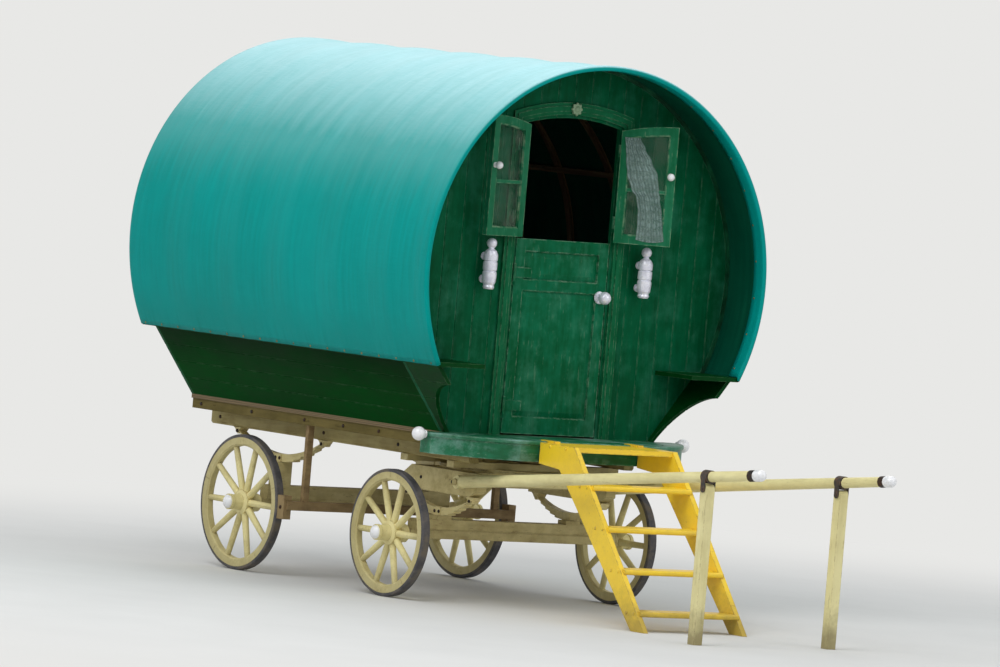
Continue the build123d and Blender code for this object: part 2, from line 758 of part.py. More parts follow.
save(futchells, "futchells")

# Shafts: tapered poles from the pivot eyes to the tips, each with the strap and ears of its prop
x_prop = x_tip - prop_back


def on_shaft(x):
    """Where a shaft's middle line is at this place along the wagon, for the left side."""
    share = (x - x_pivot) / (x_tip - x_pivot)
    return (
        shaft_root_y + share * (shaft_tip_y - shaft_root_y),
        pivot_z + share * (tip_z - pivot_z),
        shaft_root_radius + share * (shaft_tip_radius - shaft_root_radius),
    )


prop_y, prop_shaft_z, prop_shaft_radius = on_shaft(x_prop)
ear_inner = prop_size / 2 + prop_play
strap_radius = max(ear_inner + ear_thick, prop_shaft_radius + ear_thick)
prop_pin_z = prop_shaft_z - strap_radius - prop_clear - prop_size / 2
cap_outer = shaft_tip_radius + seat_gap + tip_cap_wall
tips, ferrules = BuildPart(), BuildPart()
for name, side in (("shaft_right", -1), ("shaft_left", 1)):
    root = Vector(x_pivot + 20, side * shaft_root_y, pivot_z + 2)
    along = (Vector(x_tip, side * shaft_tip_y, tip_z) - root).normalized()
    # the rounded cap ends exactly at the wagon's foremost point
    shaft_end = root + along * ((x_tip - cap_outer - root.X) / along.X)
    cap_start = shaft_end - along * (tip_cap_length - cap_outer)
    ferrule_start = cap_start - along * tip_ferrule_length
    with BuildPart() as shaft:
        add(rod(tuple(root), tuple(ferrule_start), shaft_root_radius, shaft_tip_radius).part)
        add(rod(tuple(ferrule_start), tuple(shaft_end), shaft_tip_radius).part)
        with BuildSketch(Plane.XZ.offset(-side * shaft_root_y)):
            with Locations((x_pivot, pivot_z)):
                Circle(shaft_eye_radius)
        extrude(amount=shaft_eye_width / 2, both=True)
        with BuildSketch(Plane.XZ.offset(-side * shaft_root_y)):
            with Locations((x_pivot, pivot_z)):
                Circle(pivot_pin_radius + arm_clearance)
        extrude(amount=shaft_eye_width, both=True, mode=Mode.SUBTRACT)
        # strap round the shaft, as wide as its two ears, which carry the pin of the prop
        with BuildSketch(Plane.YZ.offset(x_prop - strap_width / 2)):
            with Locations((side * prop_y, prop_shaft_z)):
                Circle(strap_radius)
        extrude(amount=strap_width)
        for ear in (-1, 1):
            with BuildSketch(Plane.XZ.offset(-side * prop_y - ear * (ear_inner + ear_thick / 2))):
                with Locations((x_prop, prop_pin_z)):
                    Circle(16)
                with Locations((x_prop, (prop_shaft_z + prop_pin_z) / 2)):
                    Rectangle(32, prop_shaft_z - prop_pin_z)
            extrude(amount=ear_thick / 2, both=True)
        with BuildSketch(Plane.XZ.offset(-side * prop_y)):
            with Locations((x_prop, prop_pin_z)):
                Circle(prop_pin_radius)
        extrude(amount=ear_inner + ear_thick + 3, both=True)
    save(shaft, name)
    with tips:
        # one turned profile, bored for the end of the shaft
        across = along.cross(Vector(0, 0, 1)).normalized()
        neck, bore = tip_cap_length - cap_outer, shaft_tip_radius + seat_gap
        with BuildPart(mode=Mode.PRIVATE) as tip:
            with BuildSketch(Plane(origin=cap_start, x_dir=across, z_dir=across.cross(along))):
                with BuildLine():
                    Polyline((0, tip_cap_length), (0, neck + seat_gap), (bore, neck + seat_gap), (bore, 0),
                             (cap_outer, 0), (cap_outer, neck))
                    CenterArc((0, neck), cap_outer, 0, 90)
                make_face()
            revolve(axis=Axis(cap_start, along))
        add(tip.part)
    with ferrules:
        with BuildPart(Plane(origin=ferrule_start, z_dir=along), mode=Mode.PRIVATE) as ferrule:
            Cylinder(cap_outer, tip_ferrule_length - seat_gap, align=(Align.CENTER, Align.CENTER, Align.MIN))
            Cylinder(shaft_tip_radius + seat_gap, tip_ferrule_length, align=(Align.CENTER, Align.CENTER, Align.MIN),
                     mode=Mode.SUBTRACT)
        add(ferrule.part)
save(tips, "shaft_tips")
save(ferrules, "shaft_ferrules")

x_cross = x_pivot + cross_bar_ahead
cross_y, cross_z, cross_radius = on_shaft(x_cross)
with BuildPart() as cross_bar:
    with BuildSketch(Plane.XZ):
        with Locations((x_cross, cross_z)):
            Circle(cross_bar_radius)
    extrude(amount=cross_y - cross_radius - bar_gap, both=True)
    for side in (-1, 1):
        with BuildSketch(Plane.XY.offset(cross_z - trace_eye_thick / 2)):
            with Locations((x_cross + cross_bar_radius + trace_eye_radius - 2, side * trace_eye_y)):
                Circle(trace_eye_radius)
            with Locations((x_cross + cross_bar_radius, side * trace_eye_y)):
                Rectangle(2 * cross_bar_radius, 2 * trace_eye_bore)
            with Locations((x_cross + cross_bar_radius + trace_eye_radius - 2, side * trace_eye_y)):
                Circle(trace_eye_bore, mode=Mode.SUBTRACT)
        extrude(amount=trace_eye_thick)
save(cross_bar, "cross_bar")

# Props that hold the shafts up
for name, side in (("prop_right", -1), ("prop_left", 1)):
    with BuildPart() as prop:
        with BuildSketch(Plane.XZ.offset(-side * prop_y)):
            with Locations((x_prop, 0)):
                Rectangle(prop_size, prop_pin_z, align=(Align.CENTER, Align.MIN))
            with Locations((x_prop, prop_pin_z)):
                Circle(prop_size / 2)
                Circle(prop_pin_radius + arm_clearance, mode=Mode.SUBTRACT)
        extrude(amount=prop_size / 2, both=True)
    save(prop, name)

# Steps, hooked on the edge of the footboard
shelf_end = x_footboard + step_shelf
step_slope = step_run / floor_top
with BuildPart() as steps:
    for side in (-1, 1):
        with BuildSketch(Plane.XZ.offset(-side * (step_half - step_board / 2))):
            with BuildLine():
                Polyline(
                    (x_footboard + seat_gap, floor_top - 5),
                    (shelf_end, floor_top - 5),
                    (shelf_end + step_run, 0),
                    (shelf_end + step_run - 110, 0),
                    (shelf_end - 110, floor_top - step_deep - 15),
                    (x_footboard + seat_gap, floor_top - step_deep),
                    close=True,
                )
            make_face()
        extrude(amount=step_board / 2, both=True)
    # the level top, and the hooks that hold it on the footboard
    with Locations((x_footboard + seat_gap + step_shelf / 2, 0, floor_top - 5 - tread_thick / 2)):
        Box(step_shelf, 2 * step_half - step_board, tread_thick)
    for side in (-1, 1):
        with BuildSketch(Plane.XZ.offset(-side * (step_half - 60))):
            with BuildLine():
                Polyline(
                    (x_footboard + 60, floor_top - 6),
                    (x_footboard + 60, floor_top + hook_thick),
                    (x_footboard - hook_reach, floor_top + hook_thick),
                    (x_footboard - hook_reach, floor_top),
                    (x_footboard + seat_gap, floor_top),
                    (x_footboard + seat_gap, floor_top - 6),
                    close=True,
                )
            make_face()
        extrude(amount=hook_width / 2, both=True)
    # treads with rounded noses
    for i in range(step_treads):
        height = floor_top - (i + 1) * floor_top / (step_treads + 0.45)
        with BuildSketch(Plane.XZ):
            with Locations((shelf_end - 50 + (floor_top - height) * step_slope, height)):
                tread = Rectangle(tread_deep, tread_thick)
            fillet(tread.vertices().group_by(Axis.X)[-1], radius=tread_nose)
        extrude(amount=step_half - step_board / 2, both=True)
save(steps, "steps")

# Wheels, made on their own axis: nose of the nave towards +Z, outer face of the rim at zero
def wheel_blank(radius):
    """Nave with its bands, spokes and a rim of felloes."""
    felloe_outer = radius - tyre_thick
    rim_inner = felloe_outer - rim_depth
    nose = nave_radius - 22
    spoke = rod(
        (nave_radius - 14, 0, -rim_width / 2 - 12),
        (rim_inner + 6, 0, -rim_width / 2),
        spoke_root_radius,
        spoke_head_radius,
    )
    with BuildPart() as blank:
        with BuildSketch(Plane.XZ):
            with BuildLine():
                Polyline(
                    (0, nave_nose), (nose, nave_nose), (nose, nave_nose - 16), (nose - nave_band, nave_nose - 18),
                    (nose + 2, -4), (nave_radius - nave_band, -12), (nave_radius, -13), (nave_radius, -22),
                    (nave_radius - nave_band, -23), (nave_radius - nave_band, -52), (nave_radius, -53),
                    (nave_radius, -64), (nave_radius - nave_band, -65), (nose + 6, nave_nose - nave_length + 12),
                    (nose + 6, nave_nose - nave_length), (0, nave_nose - nave_length), close=True,
                )
            make_face()
            with BuildLine():
                Polyline(
                    (rim_inner, -rim_chamfer), (rim_inner + rim_chamfer, 0), (felloe_outer, 0),
                    (felloe_outer, -rim_width), (rim_inner + rim_chamfer, -rim_width),
                    (rim_inner, rim_chamfer - rim_width), close=True,
                )
            make_face()
        revolve(axis=Axis.Z)
        with PolarLocations(0, spoke_count):
            add(spoke.part)
        # joint lines between the felloes, on the outer face
        with PolarLocations(felloe_outer, felloe_count, start_angle=180 / spoke_count):
            Box(2 * rim_depth + 2, felloe_joint, 2 * felloe_joint, mode=Mode.SUBTRACT)
        with Locations((0, 0, nave_nose)):
            Cylinder(axle_arm_radius + arm_clearance, 2 * nave_length, mode=Mode.SUBTRACT)
    return blank


def tyre_blank(radius):
    """Rubber tyre with rounded shoulders."""
    with BuildPart() as blank:
        with BuildSketch(Plane.XZ):
            with Locations((radius - tyre_thick / 2, -rim_width / 2)):
                section = Rectangle(tyre_thick, rim_width)
            chamfer(section.vertices().group_by(Axis.X)[-1], length=4)
        revolve(axis=Axis.Z)
    return blank


# Painted cap of the nave, with a spigot in the bore
with BuildPart() as cap_blank:
    with BuildSketch(Plane.XZ):
        with BuildLine():
            Polyline((0, nave_nose - cap_spigot), (axle_arm_radius - 0.5, nave_nose - cap_spigot),
                     (axle_arm_radius - 0.5, nave_nose), (cap_radius, nave_nose), (cap_radius, nave_nose + cap_skirt))
            TangentArc((0, nave_nose + cap_height), (cap_radius, nave_nose + cap_skirt), tangent=(1, 0))
            Line((0, nave_nose + cap_height), (0, nave_nose - cap_spigot))
        make_face()
    revolve(axis=Axis.Z)

corners = (
    # name, axle place, side, radius
    ("rear_right", x_rear_axle, -1, rear_wheel_radius),
    ("rear_left", x_rear_axle, 1, rear_wheel_radius),
    ("front_right", x_front_axle, -1, front_wheel_radius),
    ("front_left", x_front_axle, 1, front_wheel_radius),
)
for name, x, side, radius in corners:
    hub = Plane(origin=(x, side * track_outer_half, radius), x_dir=(1, 0, 0), z_dir=(0, side, 0))
    wheel_made, tyre_made = wheel_blank(radius), tyre_blank(radius)
    with BuildPart(hub) as wheel:
        add(wheel_made.part)
    save(wheel, f"wheel_{name}")
    with BuildPart(hub) as tyre:
        add(tyre_made.part)
    save(tyre, f"tyre_{name}")
    with BuildPart(hub) as cap:
        add(cap_blank.part)
    save(cap, f"hub_cap_{name}")

# Lower half door: a framed panel door on a hinge at the wagon's right
with BuildPart() as lower_door:
    with BuildSketch(Plane.YZ.offset(x_wall - leaf_thick)):
        with Locations((0, lower_bottom)):
            Rectangle(lower_width, lower_height, align=(Align.CENTER, Align.MIN))
    extrude(amount=leaf_thick)
    # recessed panels with raised, bevelled fields
    for low, high in ((lower_bottom + 85, lower_top - 258), (lower_top - 203, lower_top - 62)):
        width, middle = lower_width - 2 * panel_margin, (low + high) / 2
        with BuildSketch(Plane.YZ.offset(x_wall)):
            with Locations((0, middle)):
                Rectangle(width, high - low)
        extrude(amount=-panel_depth, mode=Mode.SUBTRACT)
        for depth, inset in ((panel_depth, 4), (2, 4 + panel_field)):
            with BuildSketch(Plane.YZ.offset(x_wall - depth)):
                with Locations((0, middle)):
                    Rectangle(width - 2 * inset, high - low - 2 * inset)
        loft()
    for height in door_hinges:
        with Locations((x_wall, 1 - door_width / 2, height + 20)):
            Box(4, 110, door_knuckle - 40, align=(Align.MIN, Align.MIN, Align.MIN))
        with Locations((x_hinge, -door_width / 2, height)):
            Cylinder(hinge_radius, door_knuckle, align=(Align.CENTER, Align.CENTER, Align.MIN))
            Cylinder(hinge_pin + arm_clearance, door_knuckle, align=(Align.CENTER, Align.CENTER, Align.MIN),
                     mode=Mode.SUBTRACT)
save(lower_door, "lower_door")

# Latch knob on its rose
latch_y, latch_z = lower_width / 2 - latch_radius, lower_top - latch_drop
with BuildPart() as door_latch:
    with BuildSketch(Plane(origin=(x_wall, latch_y, latch_z), x_dir=(0, 1, 0), z_dir=(0, 0, 1))):
        with BuildLine():
            Polyline((0, 0), (latch_radius - 4, 0), (latch_radius - 6, -6), (12, -10), (10, -24), (0, -24), close=True)
        make_face()
    revolve(axis=Axis((x_wall, latch_y, latch_z), (1, 0, 0)))
    with Locations((x_wall + 24 + 0.6 * latch_radius, latch_y, latch_z)):
        Sphere(latch_radius - 4)
save(door_latch, "door_latch")

# Upper leaves: glazed halves that open outwards, each made closed against its own hinge line and turned open
leaves = (
    # name, side, angle it stands open
    ("right", -1, leaf_open_right),
    ("left", 1, leaf_open_left),
)


def leaf_outline(inset):
    """Outline of a leaf, from its hinge line and its bottom, drawn in by inset; its head follows the arch."""
    with BuildSketch() as outline:
        with Locations((door_gap + inset, inset)):
            Rectangle(leaf_width - 2 * inset, 2 * leaf_crown, align=(Align.MIN, Align.MIN))
        with Locations((door_width / 2, door_head - head_radius - leaf_bottom)):
            Circle(head_radius - door_gap - inset, mode=Mode.INTERSECT)
    return outline.sketch


leaf_blank, leaf_opening = leaf_outline(0), leaf_outline(leaf_frame)
leaf_bead, leaf_rebate, leaf_pane = leaf_outline(leaf_frame - bead), leaf_outline(leaf_frame - 8), leaf_outline(leaf_frame - 7.5)
for name, side, opened in leaves:
    turn = math.radians(opened)
    along = (math.sin(turn), -side * math.cos(turn), 0)
    hinge_line = Plane(
        origin=(x_hinge, side * door_width / 2, leaf_bottom),
        x_dir=along,
        z_dir=(0, 0, 1),
    )
    # the leaf's own face plane: along the leaf, and up; inwards is side times its normal
    leaf_face = Plane(origin=hinge_line.origin, x_dir=along, z_dir=(-side * math.cos(turn), -math.sin(turn), 0))
    inward = -side
    pane_place = pivot_out + (leaf_thick - leaf_glass_thick) / 2
    with BuildPart() as leaf:
        with BuildSketch(leaf_face.offset(side * pivot_out)):
            add(leaf_blank)
            add(leaf_opening, mode=Mode.SUBTRACT)
        extrude(amount=side * leaf_thick)
        # the bead round the pane on both faces, and the pane's own groove
        for start, deep, shape in (
            (pivot_out, bead, leaf_bead),
            (pivot_out + leaf_thick - bead, bead, leaf_bead),
            (pane_place, leaf_glass_thick, leaf_rebate),
        ):
            with BuildSketch(leaf_face.offset(side * start)):
                add(shape)
            extrude(amount=side * deep, mode=Mode.SUBTRACT)
        # glazing bar across the middle
        with BuildSketch(leaf_face.offset(side * (pivot_out + bead))):
            with Locations((door_gap + leaf_width / 2, glazing_bar_rise)):
                Rectangle(leaf_width - 2 * leaf_frame + 2, glazing_bar)
        extrude(amount=side * (pane_place - pivot_out - bead - seat_gap))
        with BuildSketch(leaf_face.offset(side * (pane_place + leaf_glass_thick + seat_gap))):
            with Locations((door_gap + leaf_width / 2, glazing_bar_rise)):
                Rectangle(leaf_width - 2 * leaf_frame + 2, glazing_bar)
        extrude(amount=side * (pane_place - pivot_out - bead - seat_gap))
        for height in leaf_hinges:
            with BuildPart(hinge_line, mode=Mode.PRIVATE) as strap:
                with Locations((1, inward * (pivot_out - 2), height)):
                    Box(60, 4, leaf_knuckle, align=(Align.MIN, Align.CENTER, Align.MIN))
                with Locations((0, 0, height)):
                    Cylinder(hinge_radius, leaf_knuckle, align=(Align.CENTER, Align.CENTER, Align.MIN))
                    Cylinder(hinge_pin + arm_clearance, leaf_knuckle, align=(Align.CENTER, Align.CENTER, Align.MIN),
                             mode=Mode.SUBTRACT)
            add(strap.part)
    save(leaf, f"upper_door_{name}")
    with BuildPart() as pane:
        with BuildSketch(leaf_face.offset(side * pane_place)):
            add(leaf_pane)
        extrude(amount=side * leaf_glass_thick)
    save(pane, f"upper_glass_{name}")
    # knob on the inner face, near the free edge
    knob_u = door_gap + leaf_width - leaf_frame / 2
    with BuildPart(hinge_line) as leaf_knob:
        with Locations(Location((knob_u, inward * (pivot_out + leaf_thick), leaf_knob_rise), (-90 * inward, 0, 0))):
            Cylinder(leaf_knob_radius - 5, 4, align=(Align.CENTER, Align.CENTER, Align.MIN))
            Cylinder(7, 16, align=(Align.CENTER, Align.CENTER, Align.MIN))
        with Locations((knob_u, inward * (pivot_out + leaf_thick + 14 + 0.7 * leaf_knob_radius), leaf_knob_rise)):
            Sphere(leaf_knob_radius)
    save(leaf_knob, f"upper_knob_{name}")

# Inside: a bed box across the rear, and a locker bench along each side
bed_length = 980
bed_top = floor_top + 560
bench_height = 400
bench_inner = 330
with BuildPart() as bed_box:
    with Locations((cabin_back + bed_length / 2, 0, bed_top - board / 2)):
        Box(bed_length, 2 * inner_ledge_half - 2, board)
    with Locations((cabin_back + bed_length - board / 2, 0, (floor_top + bed_top - board) / 2)):
        Box(board, 2 * (floor_half - side_wall) - 4, bed_top - board - floor_top)
save(bed_box, "bed_box")

for name, side in (("bench_right", -1), ("bench_left", 1)):
    bench_back = cabin_back + bed_length + 2
    bench_front = cabin_front - 60
    with BuildPart() as bench:
        with Locations(((bench_back + bench_front) / 2, side * (bench_inner + 145), floor_top + bench_height - board / 2)):
            Box(bench_front - bench_back, 290, board)
        with Locations(((bench_back + bench_front) / 2, side * (bench_inner + board / 2 + 10),
                        floor_top + (bench_height - board) / 2)):
            Box(bench_front - bench_back, board, bench_height - board)
    save(bench, name)

mattress_thick = 110
mattress = box_part(
    (cabin_back + 8, -inner_ledge_half + 20, bed_top + 0.3),
    (cabin_back + bed_length - 12, inner_ledge_half - 20, bed_top + mattress_thick),
)
save(mattress, "mattress")
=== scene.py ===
"""Living wagon with a round canvas roof: its looks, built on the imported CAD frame."""
import math

import bmesh
import bpy
from mathutils import Matrix, Quaternion, Vector, noise


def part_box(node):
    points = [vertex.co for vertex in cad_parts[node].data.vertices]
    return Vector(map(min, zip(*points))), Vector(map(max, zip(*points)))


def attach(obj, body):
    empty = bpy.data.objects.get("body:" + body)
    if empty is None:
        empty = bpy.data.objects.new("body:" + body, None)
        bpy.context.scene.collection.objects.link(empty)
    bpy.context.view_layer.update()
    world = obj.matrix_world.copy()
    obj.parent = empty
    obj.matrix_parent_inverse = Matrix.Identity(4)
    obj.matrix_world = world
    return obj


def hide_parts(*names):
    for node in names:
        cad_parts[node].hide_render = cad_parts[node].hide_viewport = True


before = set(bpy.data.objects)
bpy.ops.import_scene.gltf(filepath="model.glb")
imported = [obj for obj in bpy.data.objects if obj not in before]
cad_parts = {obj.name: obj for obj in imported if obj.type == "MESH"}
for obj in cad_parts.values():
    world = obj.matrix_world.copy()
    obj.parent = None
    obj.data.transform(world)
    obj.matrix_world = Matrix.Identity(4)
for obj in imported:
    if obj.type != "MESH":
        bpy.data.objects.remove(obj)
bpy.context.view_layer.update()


# ---- Paints and small tools for nodes ----

def colour(red, green, blue):
    """A colour as the eye reads it, 0 to 255, as the linear values that a socket takes."""
    parts = [c / 255 for c in (red, green, blue)]
    return *[c / 12.92 if c <= 0.04045 else ((c + 0.055) / 1.055) ** 2.4 for c in parts], 1.0


def plug(tree, socket, value):
    """Feeds a socket with a number, a colour or another node's output."""
    if isinstance(value, bpy.types.NodeSocket):
        tree.links.new(value, socket)
    else:
        socket.default_value = value


def put(tree, kind, sockets=None, **settings):
    """Adds a node; sockets holds what feeds each of its inputs."""
    made = tree.nodes.new("ShaderNode" + kind)
    for name, value in settings.items():
        setattr(made, name, value)
    for place, value in (sockets or {}).items():
        plug(tree, made.inputs[place], value)
    return made


def feed(tree, node, **sockets):
    """Feeds a node's own inputs by name, with _ for a space."""
    for name, value in sockets.items():
        plug(tree, node.inputs[name.replace("_", " ")], value)


def sums(tree, operation, first, second=0.0, **settings):
    """One step of arithmetic, and its result."""
    return put(tree, "Math", {0: first, 1: second}, operation=operation, **settings).outputs[0]


def plus(tree, first, second, **settings):
    """Two values added."""
    return sums(tree, "ADD", first, second, **settings)


def minus(tree, first, second, **settings):
    """The second value taken from the first."""
    return sums(tree, "SUBTRACT", first, second, **settings)


def times(tree, first, second, **settings):
    """Two values multiplied."""
    return sums(tree, "MULTIPLY", first, second, **settings)


def weighed(tree, *parts):
    """Several values added, each times its share."""
    total = None
    for value, share in reversed(parts):
        term = times(tree, value, share)
        total = term if total is None else plus(tree, term, total)
    return total


def within(tree, value, low, high):
    """1 between two limits, 0 outside them."""
    return times(tree, sums(tree, "GREATER_THAN", value, low), sums(tree, "LESS_THAN", value, high))


def between(tree, value, low, high, to_low=0.0, to_high=1.0):
    """Value from low to high, spread over to_low to to_high and held there."""
    return put(tree, "MapRange", {0: value, 1: low, 2: high, 3: to_low, 4: to_high}).outputs[0]


def blended(tree, share, first, second):
    """Two colours mixed by share."""
    return put(tree, "Mix", {0: share, 6: first, 7: second}, data_type="RGBA").outputs[2]


def on_piece(tree):
    """The piece's own coordinates, in metres."""
    return put(tree, "TexCoord").outputs["Object"]


def on_cloth(tree):
    """A sheet's own flat coordinates, in metres."""
    return put(tree, "UVMap", uv_map="cloth").outputs[0]


def axis_of(tree, vector, axis):
    """One coordinate of a vector: 0, 1 and 2 are x, y and z."""
    return put(tree, "SeparateXYZ", {0: vector}).outputs[axis]


def upwards(tree):
    """How far the surface looks up: 1 on top, 0 upright."""
    return axis_of(tree, put(tree, "NewGeometry").outputs["Normal"], 2)


def stretched(tree, place, scale, move=(0, 0, 0)):
    """Coordinates drawn out by scale, for a pattern that runs along a board or down a sheet."""
    return put(tree, "Mapping", {0: place, 1: move, 3: scale}).outputs[0]


def moved(tree, place, shift):
    """Coordinates moved by another vector."""
    return put(tree, "VectorMath", {0: place, 1: shift}, operation="ADD").outputs[0]


def length_of(tree, vector):
    """How long a vector is."""
    return put(tree, "VectorMath", {0: vector}, operation="LENGTH").outputs["Value"]


def clouds(tree, place, scale, detail=3.0, rough=0.5):
    """Soft noise from 0 to 1."""
    return put(tree, "TexNoise", {"Vector": place, "Scale": scale, "Detail": detail,
                                  "Roughness": rough}).outputs[0]


def cells(tree, place, scale):
    """How far it is to the edge of a cell, for cracks, crazing and net."""
    return put(tree, "TexVoronoi", {"Vector": place, "Scale": scale},
               feature="DISTANCE_TO_EDGE").outputs[0]


def effect(name, takes, gives):
    """A node group with named sockets: its tree, its inputs and the node that they leave by."""
    tree = bpy.data.node_groups.new(name, "ShaderNodeTree")
    for socket, kind, value in takes:
        made = tree.interface.new_socket(socket, in_out="INPUT", socket_type="NodeSocket" + kind)
        if value is not None:
            made.default_value = value
    for socket, kind in gives:
        tree.interface.new_socket(socket, in_out="OUTPUT", socket_type="NodeSocket" + kind)
    return tree, tree.nodes.new("NodeGroupInput").outputs, tree.nodes.new("NodeGroupOutput")


def use(tree, group, **sockets):
    """Places an effect in a material and returns its outputs."""
    made = put(tree, "Group", node_tree=group)
    feed(tree, made, **sockets)
    return made.outputs


# ---- Effects that the finishes share ----

def make_edge_rub():
    """Where paint has rubbed thin along the edges of a piece."""
    tree, into, out = effect("edge rub", [("Place", "Vector", None), ("Width", "Float", 0.006)],
                             [("Rub", "Float")])
    rounded = put(tree, "Bevel", {"Radius": into["Width"]}, samples=4).outputs[0]
    facing = put(tree, "VectorMath", {0: rounded, 1: put(tree, "NewGeometry").outputs["Normal"]},
                 operation="DOT_PRODUCT").outputs["Value"]
    edge = between(tree, facing, 0.995, 0.86)
    patchy = between(tree, clouds(tree, into["Place"], 26, 4, 0.65), 0.42, 0.62)
    feed(tree, out, Rub=times(tree, edge, patchy))
    return tree


def make_brushed_paint():
    """Old gloss paint put on by brush: faded in clouds and streaks, chipped through to its base."""
    tree, into, out = effect(
        "brushed paint",
        [("Place", "Vector", None), ("Grain", "Vector", (1.0, 1.0, 0.12)), ("Fresh", "Color", None),
         ("Faded", "Color", None), ("Under", "Color", None), ("Fading", "Float", 0.5),
         ("Chipping", "Float", 0.2), ("Rub", "Float", 0.0), ("Gloss", "Float", 0.35)],
        [("Colour", "Color"), ("Roughness", "Float"), ("Height", "Float")])
    place = into["Place"]
    drawn = put(tree, "VectorMath", {0: place, 1: into["Grain"]}, operation="MULTIPLY").outputs[0]
    broad = clouds(tree, place, 2.3, 4)
    blotches = clouds(tree, place, 11, 6, 0.62)
    streaks = clouds(tree, drawn, 34, 5, 0.6)
    flakes = clouds(tree, drawn, 75, 4, 0.7)
    hairs = clouds(tree, drawn, 210, 2)
    faded = weighed(tree, (broad, 0.4), (blotches, 0.3), (streaks, 0.3))
    faded = times(tree, between(tree, faded, 0.43, 0.6), into["Fading"], use_clamp=True)
    chips = between(tree, plus(tree, flakes, times(tree, blotches, 0.4)), 0.83, 0.88)
    chips = times(tree, chips, into["Chipping"], use_clamp=True)
    worn = sums(tree, "MAXIMUM", chips, into["Rub"])
    shade = blended(tree, faded, into["Fresh"], into["Faded"])
    rough = weighed(tree, (faded, 0.22), (worn, 0.3), (hairs, 0.12))
    ridges = weighed(tree, (hairs, 0.35), (streaks, 0.4))
    feed(tree, out, Colour=blended(tree, worn, shade, into["Under"]),
         Roughness=plus(tree, into["Gloss"], rough, use_clamp=True),
         Height=minus(tree, ridges, times(tree, worn, 0.6)))
    return tree


def make_road_dirt():
    """Dried mud and grass stain, thick at the ground and gone at its reach."""
    tree, into, out = effect(
        "road dirt", [("Place", "Vector", None), ("Reach", "Float", 0.5), ("Amount", "Float", 0.6)],
        [("Dirt", "Float")])
    height = axis_of(tree, into["Place"], 2)
    low = minus(tree, 1.0, sums(tree, "DIVIDE", height, into["Reach"]), use_clamp=True)
    splash = clouds(tree, into["Place"], 17, 6, 0.68)
    dirt = between(tree, weighed(tree, (low, 0.75), (splash, 0.6)), 0.55, 0.95)
    feed(tree, out, Dirt=times(tree, dirt, into["Amount"]))
    return tree


def make_board_grain():
    """Timber whose grain runs along the short axis of its stretched coordinates."""
    tree, into, out = effect(
        "board grain",
        [("Place", "Vector", None), ("Pale", "Color", None), ("Dark", "Color", None)],
        [("Colour", "Color"), ("Roughness", "Float"), ("Height", "Float")])
    place = into["Place"]
    bent = moved(tree, place, put(tree, "TexNoise", {"Vector": place, "Scale": 0.9}).outputs[1])
    rings = put(tree, "TexWave", {"Vector": bent, "Scale": 5.0, "Distortion": 5.0, "Detail": 3.0},
                wave_type="RINGS").outputs[1]
    mark = weighed(tree, (rings, 0.55), (clouds(tree, place, 26, 4, 0.7), 0.45))
    feed(tree, out, Height=mark, Roughness=between(tree, mark, 0.1, 0.9, 0.62, 0.45),
         Colour=blended(tree, between(tree, mark, 0.25, 0.8), into["Dark"], into["Pale"]))
    return tree


def make_weave():
    """Plain weave over a sheet's own coordinates, with the slubs of coarse yarn."""
    tree, into, out = effect("weave", [("Flat", "Vector", None), ("Threads", "Float", 700.0)],
                             [("Height", "Float"), ("Slub", "Float")])
    flat = into["Flat"]
    turns = times(tree, into["Threads"], math.pi)
    across, down = (sums(tree, "SINE", times(tree, axis_of(tree, flat, i), turns)) for i in (0, 1))
    warp, weft = (clouds(tree, stretched(tree, flat, drawn), 3, 3)
                  for drawn in ((90, 3, 1), (3, 90, 1)))
    feed(tree, out, Height=times(tree, across, down), Slub=times(tree, warp, weft))
    return tree


edge_rub, brushed_paint, road_dirt = make_edge_rub(), make_brushed_paint(), make_road_dirt()
board_grain, weave = make_board_grain(), make_weave()


# ---- Finishes ----

def finish_named(name):
    """A new material: itself, its tree and its shader."""
    made = bpy.data.materials.new(name)
    made.use_nodes = True
    return made, made.node_tree, made.node_tree.nodes["Principled BSDF"]


def bump(tree, shader, height, strength, distance=0.002):
    """Relief from a height, on the shader's normal."""
    feed(tree, shader, Normal=put(tree, "Bump", {
        "Strength": strength, "Distance": distance, "Height": height}).outputs[0])


